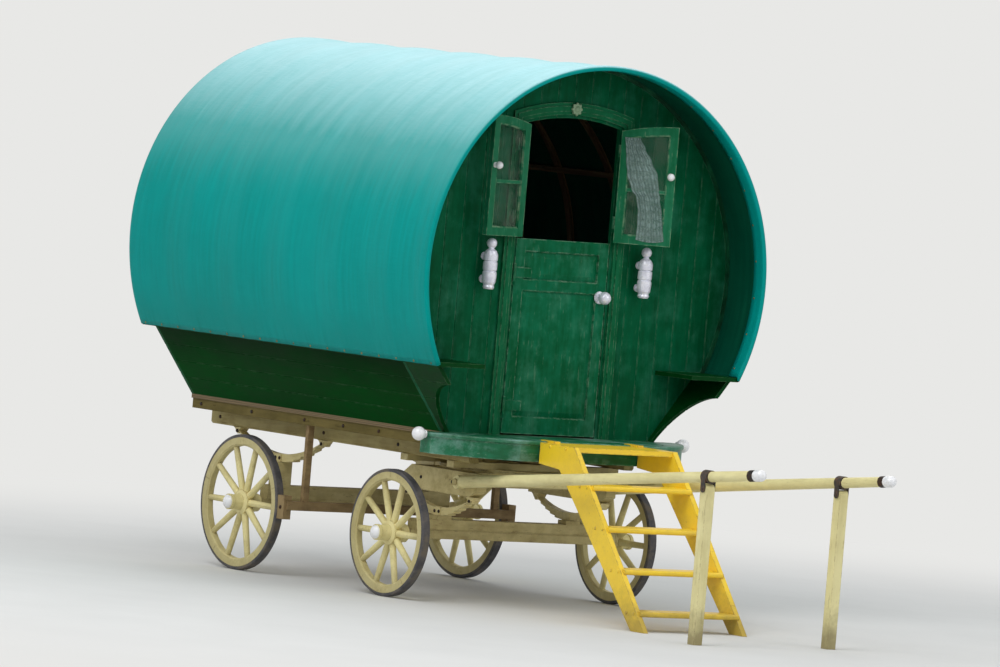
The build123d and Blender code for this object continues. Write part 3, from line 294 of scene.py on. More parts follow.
def painted(name, fresh, faded, under, gloss=0.35, fading=0.5, chipping=0.2, rub=0.006,
            grain=(1, 1, 0.12), dirt=0.0, reach=0.5, centre=None, shine=0.5, coat=0.0, strap=None,
            bloom=None, milk_and_sheen=0.4, overhang_shade=None):
    """Brush-painted timber or iron. centre is the middle of a wheel, round which its mud lies;
    strap is the stretch along the wagon left in black iron; bloom is the colour of milky
    patches, partly weather bloom and partly painted sky sheen that is twice as strong on faces
    looking up, and milk how far they go; the last argument holds two heights between which
    painted shade darkens the paint, for the shadow under the canvas overhang."""
    made, tree, shader = finish_named(name)
    place = on_piece(tree)
    rubbed = use(tree, edge_rub, Place=place, Width=rub)["Rub"]
    paint = use(tree, brushed_paint, Place=place, Grain=grain, Fresh=fresh, Faded=faded,
                Under=under, Fading=fading, Chipping=chipping, Rub=rubbed, Gloss=gloss)
    shade, rough = paint["Colour"], paint["Roughness"]
    # Milky patches: partly weather bloom and partly painted sky sheen, twice as strong on faces
    # looking up.
    if bloom:
        milky = weighed(tree, (clouds(tree, place, 5.5, 6, 0.66), 0.6),
                        (clouds(tree, stretched(tree, place, grain), 13, 5, 0.7), 0.4))
        sheen_on_top = between(tree, upwards(tree), 0.2, 0.9, milk_and_sheen, 2.0 * milk_and_sheen)
        bloom_and_sheen = times(tree, between(tree, milky, 0.49, 0.68), sheen_on_top, use_clamp=True)
        shade = blended(tree, bloom_and_sheen, shade, bloom)
    # Painted shade: the paint goes towards near black between the two heights, for the shadow under
    # the canvas overhang.
    if overhang_shade:
        drift = between(tree, clouds(tree, place, 4, 4), 0.3, 0.7, -0.03, 0.03)
        level = plus(tree, axis_of(tree, place, 2), drift)
        shade = blended(tree, between(tree, level, *overhang_shade, 0.0, 0.75), shade, colour(0, 24, 6))
    if dirt:
        spots = place
        if centre:
            hub_x, _, hub_z = centre
            away = length_of(tree, stretched(tree, place, (1, 0, 1), (-hub_x, 0, -hub_z)))
            fall = put(tree, "CombineXYZ", {2: minus(tree, hub_z, away)}).outputs[0]
            spots = moved(tree, stretched(tree, place, (1, 1, 0)), fall)
        mud = use(tree, road_dirt, Place=spots, Reach=reach, Amount=dirt)["Dirt"]
        shade = blended(tree, mud, shade, colour(112, 98, 66))
        rough = plus(tree, rough, times(tree, mud, 0.4), use_clamp=True)
    if strap:
        iron = within(tree, axis_of(tree, place, 0), *strap)
        rust = blended(tree, between(tree, clouds(tree, place, 60, 5), 0.4, 0.7),
                       colour(48, 46, 44), colour(92, 66, 48))
        shade = blended(tree, iron, shade, rust)
    feed(tree, shader, Base_Color=shade, Roughness=rough, Specular_IOR_Level=shine,
         Coat_Weight=coat, Coat_Roughness=0.12)
    bump(tree, shader, paint["Height"], 0.35)
    return made


def bare_timber(name, pale, dark, grain, boards=None):
    """Oiled or varnished boards; grain draws the pattern out along the timber, and boards is
    their width across the wagon, where they are laid side by side."""
    made, tree, shader = finish_named(name)
    at = on_piece(tree)
    place = stretched(tree, at, grain)
    if boards:
        count = sums(tree, "DIVIDE", axis_of(tree, at, 1), boards)
        own = put(tree, "TexWhiteNoise", {"W": sums(tree, "FLOOR", count)},
                  noise_dimensions="1D").outputs[0]
        shift = {0: times(tree, own, 7.0), 2: times(tree, own, 3.0)}
        place = moved(tree, place, put(tree, "CombineXYZ", shift).outputs[0])
    wood = use(tree, board_grain, Place=place, Pale=pale, Dark=dark)
    shade, height = wood["Colour"], wood["Height"]
    if boards:
        middle = sums(tree, "ABSOLUTE", minus(tree, sums(tree, "FRACT", count), 0.5))
        joint = between(tree, middle, 0.482, 0.494)
        shade = blended(tree, between(tree, own, 0, 1, 0.0, 0.3), shade, dark)
        shade = blended(tree, times(tree, joint, 0.85), shade, colour(34, 26, 16))
        height = minus(tree, height, times(tree, joint, 4.0))
    feed(tree, shader, Base_Color=shade, Roughness=wood["Roughness"])
    bump(tree, shader, height, 0.3)
    return made


def bow_timber(name, pale, dark, axis_height, slat_reach, porch):
    """Bent ash whose grain runs round in the bows and along in the slats, painted where it
    stands in the porch."""
    made, tree, shader = finish_named(name)
    place = on_piece(tree)
    x, y, z = put(tree, "SeparateXYZ", {0: place}).outputs
    rise = minus(tree, z, axis_height)
    reach = sums(tree, "SQRT", plus(tree, times(tree, y, y), times(tree, rise, rise)))
    turn = sums(tree, "ARCTAN2", y, rise)
    bowed, laid = (put(tree, "CombineXYZ", {0: times(tree, x, length), 1: times(tree, reach, 2.2),
                                            2: times(tree, turn, round_it)}).outputs[0]
                   for length, round_it in ((2.2, 0.17), (0.16, 2.3)))
    slat = sums(tree, "LESS_THAN", reach, slat_reach)
    grain = put(tree, "Mix", {0: slat, 4: bowed, 5: laid}, data_type="VECTOR").outputs[1]
    wood = use(tree, board_grain, Place=grain, Pale=pale, Dark=dark)
    green = blended(tree, between(tree, clouds(tree, place, 12, 5, 0.6), 0.4, 0.66),
                    colour(0, 52, 28), colour(14, 86, 54))
    outside = sums(tree, "GREATER_THAN", x, porch)
    feed(tree, shader, Base_Color=blended(tree, outside, wood["Colour"], green),
         Roughness=wood["Roughness"], Specular_IOR_Level=0.3)
    bump(tree, shader, wood["Height"], 0.25)
    return made


def iron_finish(name, dark, pale, metallic=0.6, low=0.42):
    """Blackened or greased iron with dull rust blooms; low is how rough its smoothest part is."""
    made, tree, shader = finish_named(name)
    place = on_piece(tree)
    bloom = between(tree, clouds(tree, place, 34, 6, 0.65), 0.42, 0.68)
    pits = clouds(tree, place, 160, 3, 0.6)
    feed(tree, shader, Base_Color=blended(tree, bloom, dark, pale), Metallic=metallic,
         Roughness=between(tree, plus(tree, bloom, pits), 0.3, 1.5, low, 0.85))
    bump(tree, shader, pits, 0.3, 0.001)
    return made


def china_white(name, dirt=0.25):
    """White glazed or enamelled knobs, a little yellowed in their hollows."""
    made, tree, shader = finish_named(name)
    place = on_piece(tree)
    age = between(tree, clouds(tree, place, 48, 5, 0.6), 0.5, 0.75, 0.0, dirt)
    feed(tree, shader, Base_Color=blended(tree, age, colour(240, 240, 242), colour(186, 180, 158)),
         Roughness=between(tree, clouds(tree, place, 90, 3), 0.3, 0.7, 0.14, 0.3),
         Coat_Weight=0.4, Coat_Roughness=0.08)
    bump(tree, shader, between(tree, cells(tree, place, 210.0), 0.0, 0.06), 0.06, 0.0005)
    return made


def bright_plate(name):
    """Bright plated metal, brushed round by polishing and dulled in clouds."""
    made, tree, shader = finish_named(name)
    place = on_piece(tree)
    dull = between(tree, clouds(tree, place, 30, 5, 0.6), 0.4, 0.7)
    rings = clouds(tree, stretched(tree, place, (6, 6, 190)), 9, 3)
    rough = plus(tree, between(tree, dull, 0, 1, 0.2, 0.38), times(tree, rings, 0.08))
    feed(tree, shader, Base_Color=blended(tree, dull, colour(238, 238, 248), colour(212, 212, 226)),
         Roughness=rough, Metallic=0.2)
    bump(tree, shader, rings, 0.08, 0.0006)
    return made


def pane_glass(name):
    """Old window glass, dusty at its edges and not quite flat."""
    made, tree, shader = finish_named(name)
    place = on_piece(tree)
    dust = between(tree, clouds(tree, place, 9, 5, 0.6), 0.4, 0.75)
    feed(tree, shader, Base_Color=blended(tree, dust, colour(120, 150, 132), colour(160, 168, 150)),
         Roughness=between(tree, dust, 0, 1, 0.03, 0.16), IOR=1.45, Specular_IOR_Level=0.3,
         Alpha=between(tree, dust, 0, 1, 0.04, 0.14))
    bump(tree, shader, clouds(tree, place, 6, 1), 0.12, 0.004)
    return made


def tyre_rubber(name):
    """Solid rubber, grey with dust, with fine cracks and dried mud on the tread."""
    made, tree, shader = finish_named(name)
    place = on_piece(tree)
    dust = between(tree, clouds(tree, place, 14, 6, 0.65), 0.35, 0.7)
    mud = between(tree, clouds(tree, place, 7, 6, 0.7), 0.5, 0.66, 0.0, 0.55)
    shade = blended(tree, dust, colour(52, 52, 58), colour(104, 100, 98))
    feed(tree, shader, Base_Color=blended(tree, mud, shade, colour(110, 96, 70)),
         Roughness=between(tree, dust, 0, 1, 0.62, 0.9))
    cracks = between(tree, cells(tree, place, 95.0), 0.0, 0.05)
    bump(tree, shader, plus(tree, cracks, times(tree, mud, 1.5)), 0.25, 0.0012)
    return made


def canvas_cloth(name, fresh, faded, slub, sky_sheen=None, crown=0.0):
    """Proofed canvas: weave, stitched hems, water runs and a little green at the foot; the pale
    colour that it may take is a painted reflection of the sky, laid towards its crown on faces
    that look up."""
    hem_seam = 2.112
    made, tree, shader = finish_named(name)
    flat, place = on_cloth(tree), on_piece(tree)
    threads = use(tree, weave, Flat=flat, Threads=900.0)
    runs = clouds(tree, stretched(tree, flat, (22, 1.1, 1)), 1.6, 6, 0.62)
    mark = weighed(tree, (runs, 0.55), (clouds(tree, place, 1.7, 5, 0.6), 0.45))
    shade = blended(tree, between(tree, mark, 0.38, 0.66), fresh, faded)
    height = axis_of(tree, place, 2)
    # Painted reflection of the sky: the cloth pales towards its crown, on faces that look up.
    if sky_sheen:
        ragged = clouds(tree, stretched(tree, flat, (9, 1.3, 1)), 1.6, 4)
        level = plus(tree, height, between(tree, ragged, 0.3, 0.7, -0.04, 0.04))
        first = put(tree, "MapRange", {0: level, 1: crown - 0.86, 2: crown - 0.38, 4: 0.2},
                    interpolation_type="SMOOTHSTEP").outputs[0]
        sky_sheen_share = plus(tree, first, between(tree, level, crown - 0.47, crown - 0.02, 0.0, 0.8))
        outer = between(tree, upwards(tree), 0.1, 0.5)
        shade = blended(tree, times(tree, sky_sheen_share, outer, use_clamp=True), shade, sky_sheen)
    shade = blended(tree, between(tree, threads["Slub"], 0.2, 0.34, 0.0, 0.22), shade, slub)
    foot = times(tree, between(tree, height, 1.42, 1.19), between(tree, runs, 0.42, 0.68))
    shade = blended(tree, times(tree, foot, 0.35), shade, colour(0, 92, 74))
    feed(tree, shader, Base_Color=shade, Specular_IOR_Level=0.05,
         Roughness=between(tree, mark, 0.3, 0.7, 0.34, 0.46))
    from_crown = sums(tree, "ABSOLUTE", axis_of(tree, flat, 1))
    from_seam = sums(tree, "ABSOLUTE", minus(tree, from_crown, hem_seam))
    stitched = times(tree, between(tree, from_seam, 0.003, 0.0), 1.4)
    bump(tree, shader, minus(tree, times(tree, threads["Height"], 0.25), stitched), 0.3, 0.0012)
    return made


def lace_net(name):
    """Cotton lace: a net ground with rounded sprigs, dulled in patches."""
    made, tree, shader = finish_named(name)
    flat = on_cloth(tree)
    sprig = put(tree, "TexVoronoi", {"Vector": flat, "Scale": 26.0, "Randomness": 0.25}).outputs[0]
    solid = sums(tree, "MAXIMUM", between(tree, cells(tree, flat, 260.0), 0.16, 0.08),
                 between(tree, sprig, 0.34, 0.26))
    yarn = clouds(tree, flat, 420, 2)
    dull = between(tree, clouds(tree, flat, 9, 4), 0.35, 0.7)
    feed(tree, shader, Base_Color=blended(tree, dull, colour(134, 156, 152), colour(106, 128, 124)),
         Roughness=between(tree, yarn, 0.2, 0.8, 0.75, 0.92),
         Alpha=between(tree, solid, 0, 1, 0.34, 0.9), Sheen_Weight=0.2)
    bump(tree, shader, plus(tree, solid, times(tree, yarn, 0.4)), 0.3, 0.0008)
    return made


def ticking(name):
    """Striped mattress ticking with a close twill."""
    made, tree, shader = finish_named(name)
    place = on_piece(tree)
    x, y = (axis_of(tree, place, axis) for axis in (0, 1))
    stripe = sums(tree, "FRACT", times(tree, x, 22.0))
    band = sums(tree, "MAXIMUM", within(tree, stripe, 0.1, 0.34), within(tree, stripe, 0.42, 0.47))
    twill = sums(tree, "SINE", times(tree, plus(tree, x, y), 2600.0))
    soiled = between(tree, clouds(tree, place, 6, 5), 0.45, 0.75, 0.0, 0.35)
    shade = blended(tree, band, colour(216, 206, 184), colour(128, 52, 46))
    feed(tree, shader, Base_Color=blended(tree, soiled, shade, colour(170, 156, 128)),
         Roughness=between(tree, clouds(tree, place, 80, 3), 0.3, 0.7, 0.8, 0.95),
         Sheen_Weight=0.15)
    bump(tree, shader, twill, 0.15, 0.0006)
    return made


green_under = colour(74, 104, 76)
# The side's paint is darkened from 1.0 to 1.22 m up as painted shade under the canvas overhang.
body_side = painted(
    "side paint", colour(0, 58, 14), colour(0, 72, 22), green_under, gloss=0.4, fading=0.6,
    chipping=0.05, grain=(0.12, 1, 1), shine=0.02, overhang_shade=(1.0, 1.22))
# The front wall, rear wall, door and footboard take milky patches that are partly painted sky
# sheen.
front_paint = painted(
    "front wall paint", colour(0, 74, 42), colour(2, 94, 60), colour(84, 128, 100), gloss=0.36,
    fading=0.9, chipping=0.12, shine=0.05, bloom=colour(66, 130, 108), milk_and_sheen=0.3)
rear_paint = painted(
    "rear wall paint", colour(0, 64, 28), colour(4, 88, 48), green_under, gloss=0.36, fading=0.7,
    chipping=0.1, shine=0.07, bloom=colour(44, 110, 84))
door_paint = painted(
    "door paint", colour(0, 82, 46), colour(16, 112, 78), colour(124, 158, 132), gloss=0.34,
    fading=0.85, chipping=0.22, rub=0.009, shine=0.06, bloom=colour(84, 140, 116), milk_and_sheen=0.3)
trim_paint = painted(
    "trim paint", colour(0, 84, 48), colour(18, 108, 70), colour(108, 148, 116), gloss=0.34,
    fading=0.75, chipping=0.16, shine=0.08)
leaf_paint = painted(
    "leaf paint", colour(4, 92, 56), colour(40, 118, 84), colour(140, 168, 136), gloss=0.36,
    fading=0.9, chipping=0.25, rub=0.008, shine=0.1)
ledge_paint = painted(
    "ledge paint", colour(0, 52, 16), colour(0, 74, 28), green_under, gloss=0.36, fading=0.5,
    chipping=0.08, grain=(0.12, 1, 1), shine=0.06)
board_paint = painted(
    "footboard paint", colour(0, 84, 48), colour(18, 112, 76), colour(130, 162, 142), gloss=0.28,
    fading=0.95, chipping=0.3, rub=0.012, grain=(1, 0.12, 1), shine=0.35,
    bloom=colour(146, 182, 174), milk_and_sheen=0.5)
rail_cream = painted(
    "rail paint", colour(168, 154, 100), colour(134, 118, 70), colour(98, 76, 46), gloss=0.5,
    fading=0.95, chipping=0.5, grain=(0.12, 1, 1), dirt=0.35, reach=1.1, shine=0.3)
sill_ochre = painted(
    "sill paint", colour(112, 98, 48), colour(88, 78, 38), colour(64, 54, 32), gloss=0.5,
    fading=0.95, chipping=0.5, grain=(0.12, 1, 1), dirt=0.3, reach=1.1, shine=0.2)
under_cream = painted(
    "underwork paint", colour(206, 192, 136), colour(170, 154, 100), colour(108, 84, 56),
    gloss=0.5, fading=0.95, chipping=0.5, grain=(1, 0.2, 1), dirt=0.5, reach=0.8)
spring_cream = painted(
    "spring paint", colour(222, 208, 150), colour(188, 172, 118), colour(96, 72, 52), gloss=0.42,
    fading=0.85, chipping=0.45, rub=0.004, grain=(0.3, 1, 1), dirt=0.4, reach=0.9)
shaft_cream = painted(
    "shaft paint", colour(232, 222, 164), colour(204, 192, 134), colour(150, 128, 86), gloss=0.4,
    fading=0.7, chipping=0.35, grain=(0.1, 1, 1), strap=(1.8665, 1.9185))
prop_cream = painted(
    "prop paint", colour(230, 220, 162), colour(202, 190, 132), colour(146, 126, 86), gloss=0.42,
    fading=0.7, chipping=0.35, dirt=0.7, reach=0.3)
brake_paint = painted(
    "brake paint", colour(150, 126, 84), colour(112, 88, 58), colour(84, 62, 42), gloss=0.6,
    fading=1.0, chipping=0.5, grain=(1, 0.15, 1), dirt=0.5, reach=0.8)
step_yellow = painted(
    "step paint", colour(250, 212, 40), colour(228, 192, 62), colour(150, 118, 64), gloss=0.34,
    fading=0.55, chipping=0.3, rub=0.01, grain=(1, 0.14, 1), dirt=0.55, reach=0.32, coat=0.2)
boss_paint = painted(
    "boss paint", colour(132, 158, 124), colour(96, 138, 100), colour(170, 180, 150), fading=0.6)
black_iron = iron_finish("black iron", colour(40, 38, 38), colour(86, 62, 46))
ring_iron = iron_finish("greased iron", colour(52, 48, 44), colour(104, 84, 58), metallic=0.4)
tack_brass = iron_finish("tack brass", colour(158, 134, 70), colour(92, 78, 48), metallic=0.8,
                         low=0.32)
knob_white = china_white("knob white")
tip_white = china_white("tip white", dirt=0.4)
bright = bright_plate("bright plate")
glass = pane_glass("window glass")
floor_boards = bare_timber("floor boards", colour(126, 104, 62), colour(92, 74, 44),
                           grain=(0.3, 7.0, 7.0), boards=0.115)
varnished = bare_timber("varnished locker", colour(144, 88, 46), colour(106, 60, 30),
                        grain=(2.2, 0.16, 2.2))
bow_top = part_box("roof_bows")[1]
bow_reach = bow_top.y
ash = bow_timber("oiled ash", colour(146, 118, 82), colour(100, 76, 50),
                 axis_height=bow_top.z - bow_reach, slat_reach=bow_reach - 0.019, porch=-0.03)

finished = [
    (body_side, "side_right side_left"), (ledge_paint, "ledge_right ledge_left"),
    (front_paint, "front_wall"), (rear_paint, "rear_wall"), (trim_paint, "door_casing rear_window"),
    (door_paint, "lower_door"), (leaf_paint, "upper_door_right upper_door_left"),
    (board_paint, "footboard"), (floor_boards, "floor"), (ash, "roof_bows"),
    (sill_ochre, "floor_bearers"), (rail_cream, "chassis_rails"), (brake_paint, "brake"),
    (under_cream, "rear_axle front_axle futchells turntable_upper turntable_lower"),
    (spring_cream, "rear_spring_right rear_spring_left front_spring_right front_spring_left"),
    (shaft_cream, "shaft_right shaft_left cross_bar"), (tip_white, "shaft_tips"),
    (black_iron, "shaft_ferrules"), (prop_cream, "prop_right prop_left"), (step_yellow, "steps"),
    (knob_white, "footboard_knobs upper_knob_right upper_knob_left"),
    (bright, "grab_handles door_latch"), (glass, "rear_glass upper_glass_right upper_glass_left"),
    (varnished, "bed_box bench_right bench_left"),
]
axle_x = {"rear": -1.6025, "front": -0.2875}
for end, x in axle_x.items():
    low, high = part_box(f"tyre_{end}_right")
    wheel_paint = painted(
        f"{end} wheel paint", colour(228, 216, 156), colour(204, 190, 128), colour(146, 122, 78),
        gloss=0.42, fading=0.75, chipping=0.35, rub=0.005, grain=(1, 1, 1), dirt=0.42, reach=0.28,
        centre=(x, 0, (low.z + high.z) / 2))
    finished += [(wheel_paint, f"wheel_{end}_right wheel_{end}_left"),
                 (tyre_rubber(f"{end} tyre rubber"), f"tyre_{end}_right tyre_{end}_left"),
                 (knob_white, f"hub_cap_{end}_right hub_cap_{end}_left")]
for finish, names in finished:
    for name in names.split():
        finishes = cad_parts[name].data.materials
        finishes.clear()
        finishes.append(finish)


# ---- Tools for new pieces ----

def piece(name, mesh, body, slot, *finishes):
    """Turns a finished bmesh into an object that rides on a body."""
    data = bpy.data.meshes.new(name)
    mesh.to_mesh(data)
    mesh.free()
    for face in data.polygons:
        face.use_smooth = True
    for finish in finishes:
        data.materials.append(finish)
    made = bpy.data.objects.new(name, data)
    bpy.context.scene.collection.objects.link(made)
    if body:
        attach(made, body)
    return made


def turned(mesh, line, axis, steps, centre=(0, 0, 0), angle=None):
    """Spins a line of vertices into a surface, which closes where no angle is given."""
    edges = [mesh.edges.new(pair) for pair in zip(line, line[1:])]
    bmesh.ops.spin(mesh, geom=line + edges, cent=centre, axis=axis, steps=steps,
                   angle=angle or 2 * math.pi, use_merge=angle is None, use_duplicate=False)
    if angle is None:
        bmesh.ops.remove_doubles(mesh, verts=mesh.verts[:], dist=0.00005)


def face_towards(mesh, face, way):
    """Turns a sheet over where one of its faces looks against way."""
    mesh.normal_update()
    if face.normal.dot(way) < 0:
        bmesh.ops.reverse_faces(mesh, faces=mesh.faces[:])


def lay_flat(mesh, across, down):
    """Gives a sheet its cloth coordinates in metres from what each vertex carries."""
    layer = mesh.loops.layers.uv.new("cloth")
    for face in mesh.faces:
        for loop in face.loops:
            loop[layer].uv = loop.vert[across], loop.vert[down]


def held(value, low=0.0, high=1.0):
    """A number kept between two others."""
    return min(max(value, low), high)


def eased(share):
    """A share from 0 to 1 that starts and ends gently."""
    return share * share * (3 - 2 * share)


# ---- Roof canvas: one sheet over the bows, turned in over the first and the last of them ----

roof_low, roof_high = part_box("roof_canvas")
roof_radius = roof_high.y
roof_middle = roof_high.z - roof_radius
x_tail, x_brow, hem = roof_low.x, roof_high.x, roof_low.z
hem_turn = math.asin((hem - roof_middle) / (roof_radius - 0.003))
canvas_reach = roof_radius - 0.0042
lip_drop = 0.0247
first_bow, bow_pitch, brow_bow = -2.2225, 0.4440, x_brow - 0.042
porch_bay = first_bow + 5 * bow_pitch


def slack(x, turn):
    """How far the canvas sinks between one bow and the next, and its small drawn folds."""
    share = ((x - first_bow) / bow_pitch) % 1.0 if x > first_bow else 0.0
    if x > porch_bay:
        share = min((x - porch_bay) / (brow_bow - porch_bay), 1.0)
    share = held((share - 0.05) / 0.9)
    belly = share * (1 - share)
    sink = 0.0085 + 0.0030 * noise.noise(Vector((x * 1.3, turn * 0.8, 1.7)))
    low_down = max(0.0, -math.sin(turn) + 0.15)
    folds = 0.0017 * math.cos(2 * math.pi * x / 0.221 + 1.1 * math.sin(turn * 2)) * (0.5 + low_down)
    wrinkles = 0.0012 * noise.noise(Vector((x * 7, turn * 2.1, 4.2)))
    return 4 * sink * belly + (folds + wrinkles) * min(1, 6 * belly + 0.15)


def roof_sheet():
    """The sheet with both its lips, its length when flat and its width from hem to hem."""
    mesh = bmesh.new()
    run, swing = mesh.verts.layers.float.new("run"), mesh.verts.layers.float.new("swing")
    over, roll, roll_x = canvas_reach, 0.0075, x_brow - 0.009
    front, back, steps = x_brow - 0.02, x_tail + 0.008, 96
    profile = [(x_brow - inwards, over - drop)
               for inwards, drop in ((0.078, 0.0243), (0.05, 0.0246), (0.022, lip_drop))]
    profile += [(roll_x + roll * math.sin(a), over - 0.0172 - roll * math.cos(a))
                for a in (0.3, 0.8, 1.3)]
    profile += [(x_brow - 0.0012, over - 0.0122)]
    profile += [(roll_x + roll * math.cos(a), over - 0.0072 + roll * math.sin(a))
                for a in (0.2, 0.7, 1.2, 1.57)]
    profile += [(front - (front - back) * i / steps, over) for i in range(steps + 1)]
    profile += [(x_tail + inwards, over - drop)
                for inwards, drop in ((0.0035, 0.001), (0.0018, 0.0035), (0.0035, 0.0062),
                                      (0.014, 0.0075), (0.03, 0.0078), (0.045, 0.0078))]
    start = math.pi - hem_turn
    line, along = [], 0.0
    for (x, radius), last in zip(profile, profile[:1] + profile):
        along += math.dist((x, radius), last)
        line.append(mesh.verts.new((x, radius * math.cos(start),
                                    roof_middle + radius * math.sin(start))))
        line[-1][run] = along
    sweep = math.pi - 2 * hem_turn
    turned(mesh, line, (1, 0, 0), 132, (0, 0, roof_middle), -sweep)

    upright = math.pi / 2
    clear = math.asin((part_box("ledge_right")[1].z + 0.004 - roof_middle) / (over - 0.024))
    drawn_up = (upright - clear) / (upright - hem_turn)
    for vert in mesh.verts:
        y, z = vert.co.y, vert.co.z - roof_middle
        radius, turn = math.hypot(y, z), math.atan2(z, abs(y))
        vert[swing] = (upright - turn) * over * (1 if y > 0 else -1)
        if radius < over - 0.004 and vert.co.x < x_brow - 0.003:
            turn = upright - (upright - turn) * drawn_up
        elif radius > over - 0.0005:
            nailed = held((turn - hem_turn) / 0.45)
            radius -= slack(vert.co.x, turn) * (0.12 + 0.88 * eased(nailed))
            if turn < hem_turn + 0.03:
                scallop = 0.0016 * math.sin(math.pi * ((vert.co.x - first_bow) / 0.148 % 1.0))
                turn += scallop * max(0.0, 1 - (turn - hem_turn) / 0.03)
        vert.co.y = math.copysign(radius * math.cos(turn), y)
        vert.co.z = roof_middle + radius * math.sin(turn)
    top = max(mesh.faces, key=lambda face: face.calc_center_median().z)
    face_towards(mesh, top, Vector((0, 0, 1)))
    lay_flat(mesh, run, swing)
    return mesh, along, sweep * over


# The pale colour (173, 221, 227) is a painted reflection of the sky on the crown.
teal = canvas_cloth("roof canvas", colour(0, 139, 132), colour(0, 154, 149), colour(10, 162, 156),
                    sky_sheen=colour(173, 221, 227), crown=roof_high.z)
# The lining is the roof's green made dark: painted shade under the roof.
shaded_lining = canvas_cloth("canvas lining painted shade", colour(0, 62, 46), colour(10, 84, 62), colour(20, 92, 70))
sheet_mesh, sheet_length, sheet_width = roof_sheet()
canvas = piece("canvas_roof_sheet", sheet_mesh, "wagon", "canvas", teal, shaded_lining)
thick = canvas.modifiers.new("thickness", "SOLIDIFY")
thick.thickness, thick.offset, thick.material_offset = 0.0016, 0.0, 1
thick.use_quality_normals = True
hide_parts("roof_canvas")


# ---- Lace: on the open leaf and at the jamb ----

lace = lace_net("cotton lace")


def hanging_lace(name, body, corner, along, outward, rows, pleats, pleat):
    """A gathered curtain on a plane from corner along one way and up; rows are (height, start,
    end) from the top down, and pleat is how deep its folds are where it is loosest."""
    mesh = bmesh.new()
    bmesh.ops.create_grid(mesh, x_segments=72, y_segments=64, size=0.5)
    run, fall = mesh.verts.layers.float.new("run"), mesh.verts.layers.float.new("fall")
    corner, along, outward = Vector(corner), Vector(along), Vector(outward)
    widest = max(end - start for _, start, end in rows)
    width, height = 1.2 * widest, rows[0][0] - rows[-1][0]
    bays = len(rows) - 1
    for vert in mesh.verts:
        u, v = vert.co.x + 0.5, 0.5 - vert.co.y
        bay = min(int(v * bays), bays - 1)
        share = v * bays - bay
        (upper_z, *upper), (lower_z, *lower) = rows[bay:bay + 2]
        start, end = (a + (b - a) * eased(share) for a, b in zip(upper, lower))
        z = upper_z + (lower_z - upper_z) * share
        drawn = u + 0.035 * noise.noise(Vector((u * 3, v * 2.6, 5.1)))
        uneven = 1.3 * noise.noise(Vector((u * 4, v * 1.5, 2.2)))
        fold = 1 + math.sin(2 * math.pi * pleats * drawn + uneven)
        gathered = 1 - (end - start) / widest
        depth = pleat * (0.55 + 0.45 * gathered) * (0.75 + 0.25 * v)
        droop = 0.006 * math.sin(math.pi * u) * (1 if bay < bays - 1 else 1.6)
        vert[run], vert[fall] = u * width, v * height
        vert.co = (corner + along * (start + (end - start) * u) + outward * (depth * fold)
                   + Vector((0, 0, z - droop * v)))
    lay_flat(mesh, run, fall)
    mesh.faces.ensure_lookup_table()
    face_towards(mesh, mesh.faces[0], outward)
    made = piece(name, mesh, body, "bedding", lace)


leaf_open = math.radians(145)
leaf_along = Vector((math.sin(leaf_open), -math.cos(leaf_open), 0))
leaf_inside = Vector((-math.cos(leaf_open), -math.sin(leaf_open), 0))
leaf_hinge = Vector((0.0175, 0.2925, 0))
hanging_lace(
    "lace_curtain_leaf", "upper_door_left",
    leaf_hinge + leaf_inside * 0.0385, leaf_along, leaf_inside,
    [(2.372, 0.022, 0.100), (2.32, 0.030, 0.128), (2.26, 0.036, 0.165), (2.19, 0.046, 0.200),
     (2.12, 0.072, 0.212), (2.07, 0.104, 0.222), (2.0, 0.116, 0.236), (1.93, 0.118, 0.246),
     (1.865, 0.116, 0.256)], pleats=9, pleat=0.0045)
hanging_lace(
    "lace_curtain_jamb", "wagon", (-0.05, -0.305, 0), (0, 1, 0), (1, 0, 0),
    [(2.36, 0.0, 0.03), (2.2, 0.0, 0.03), (2.06, 0.0, 0.032), (1.97, 0.0, 0.05),
     (1.9, 0.0, 0.068), (1.85, 0.0, 0.075)], pleats=6, pleat=0.0068)


# ---- Mattress: filled ticking, tufted down in rows ----

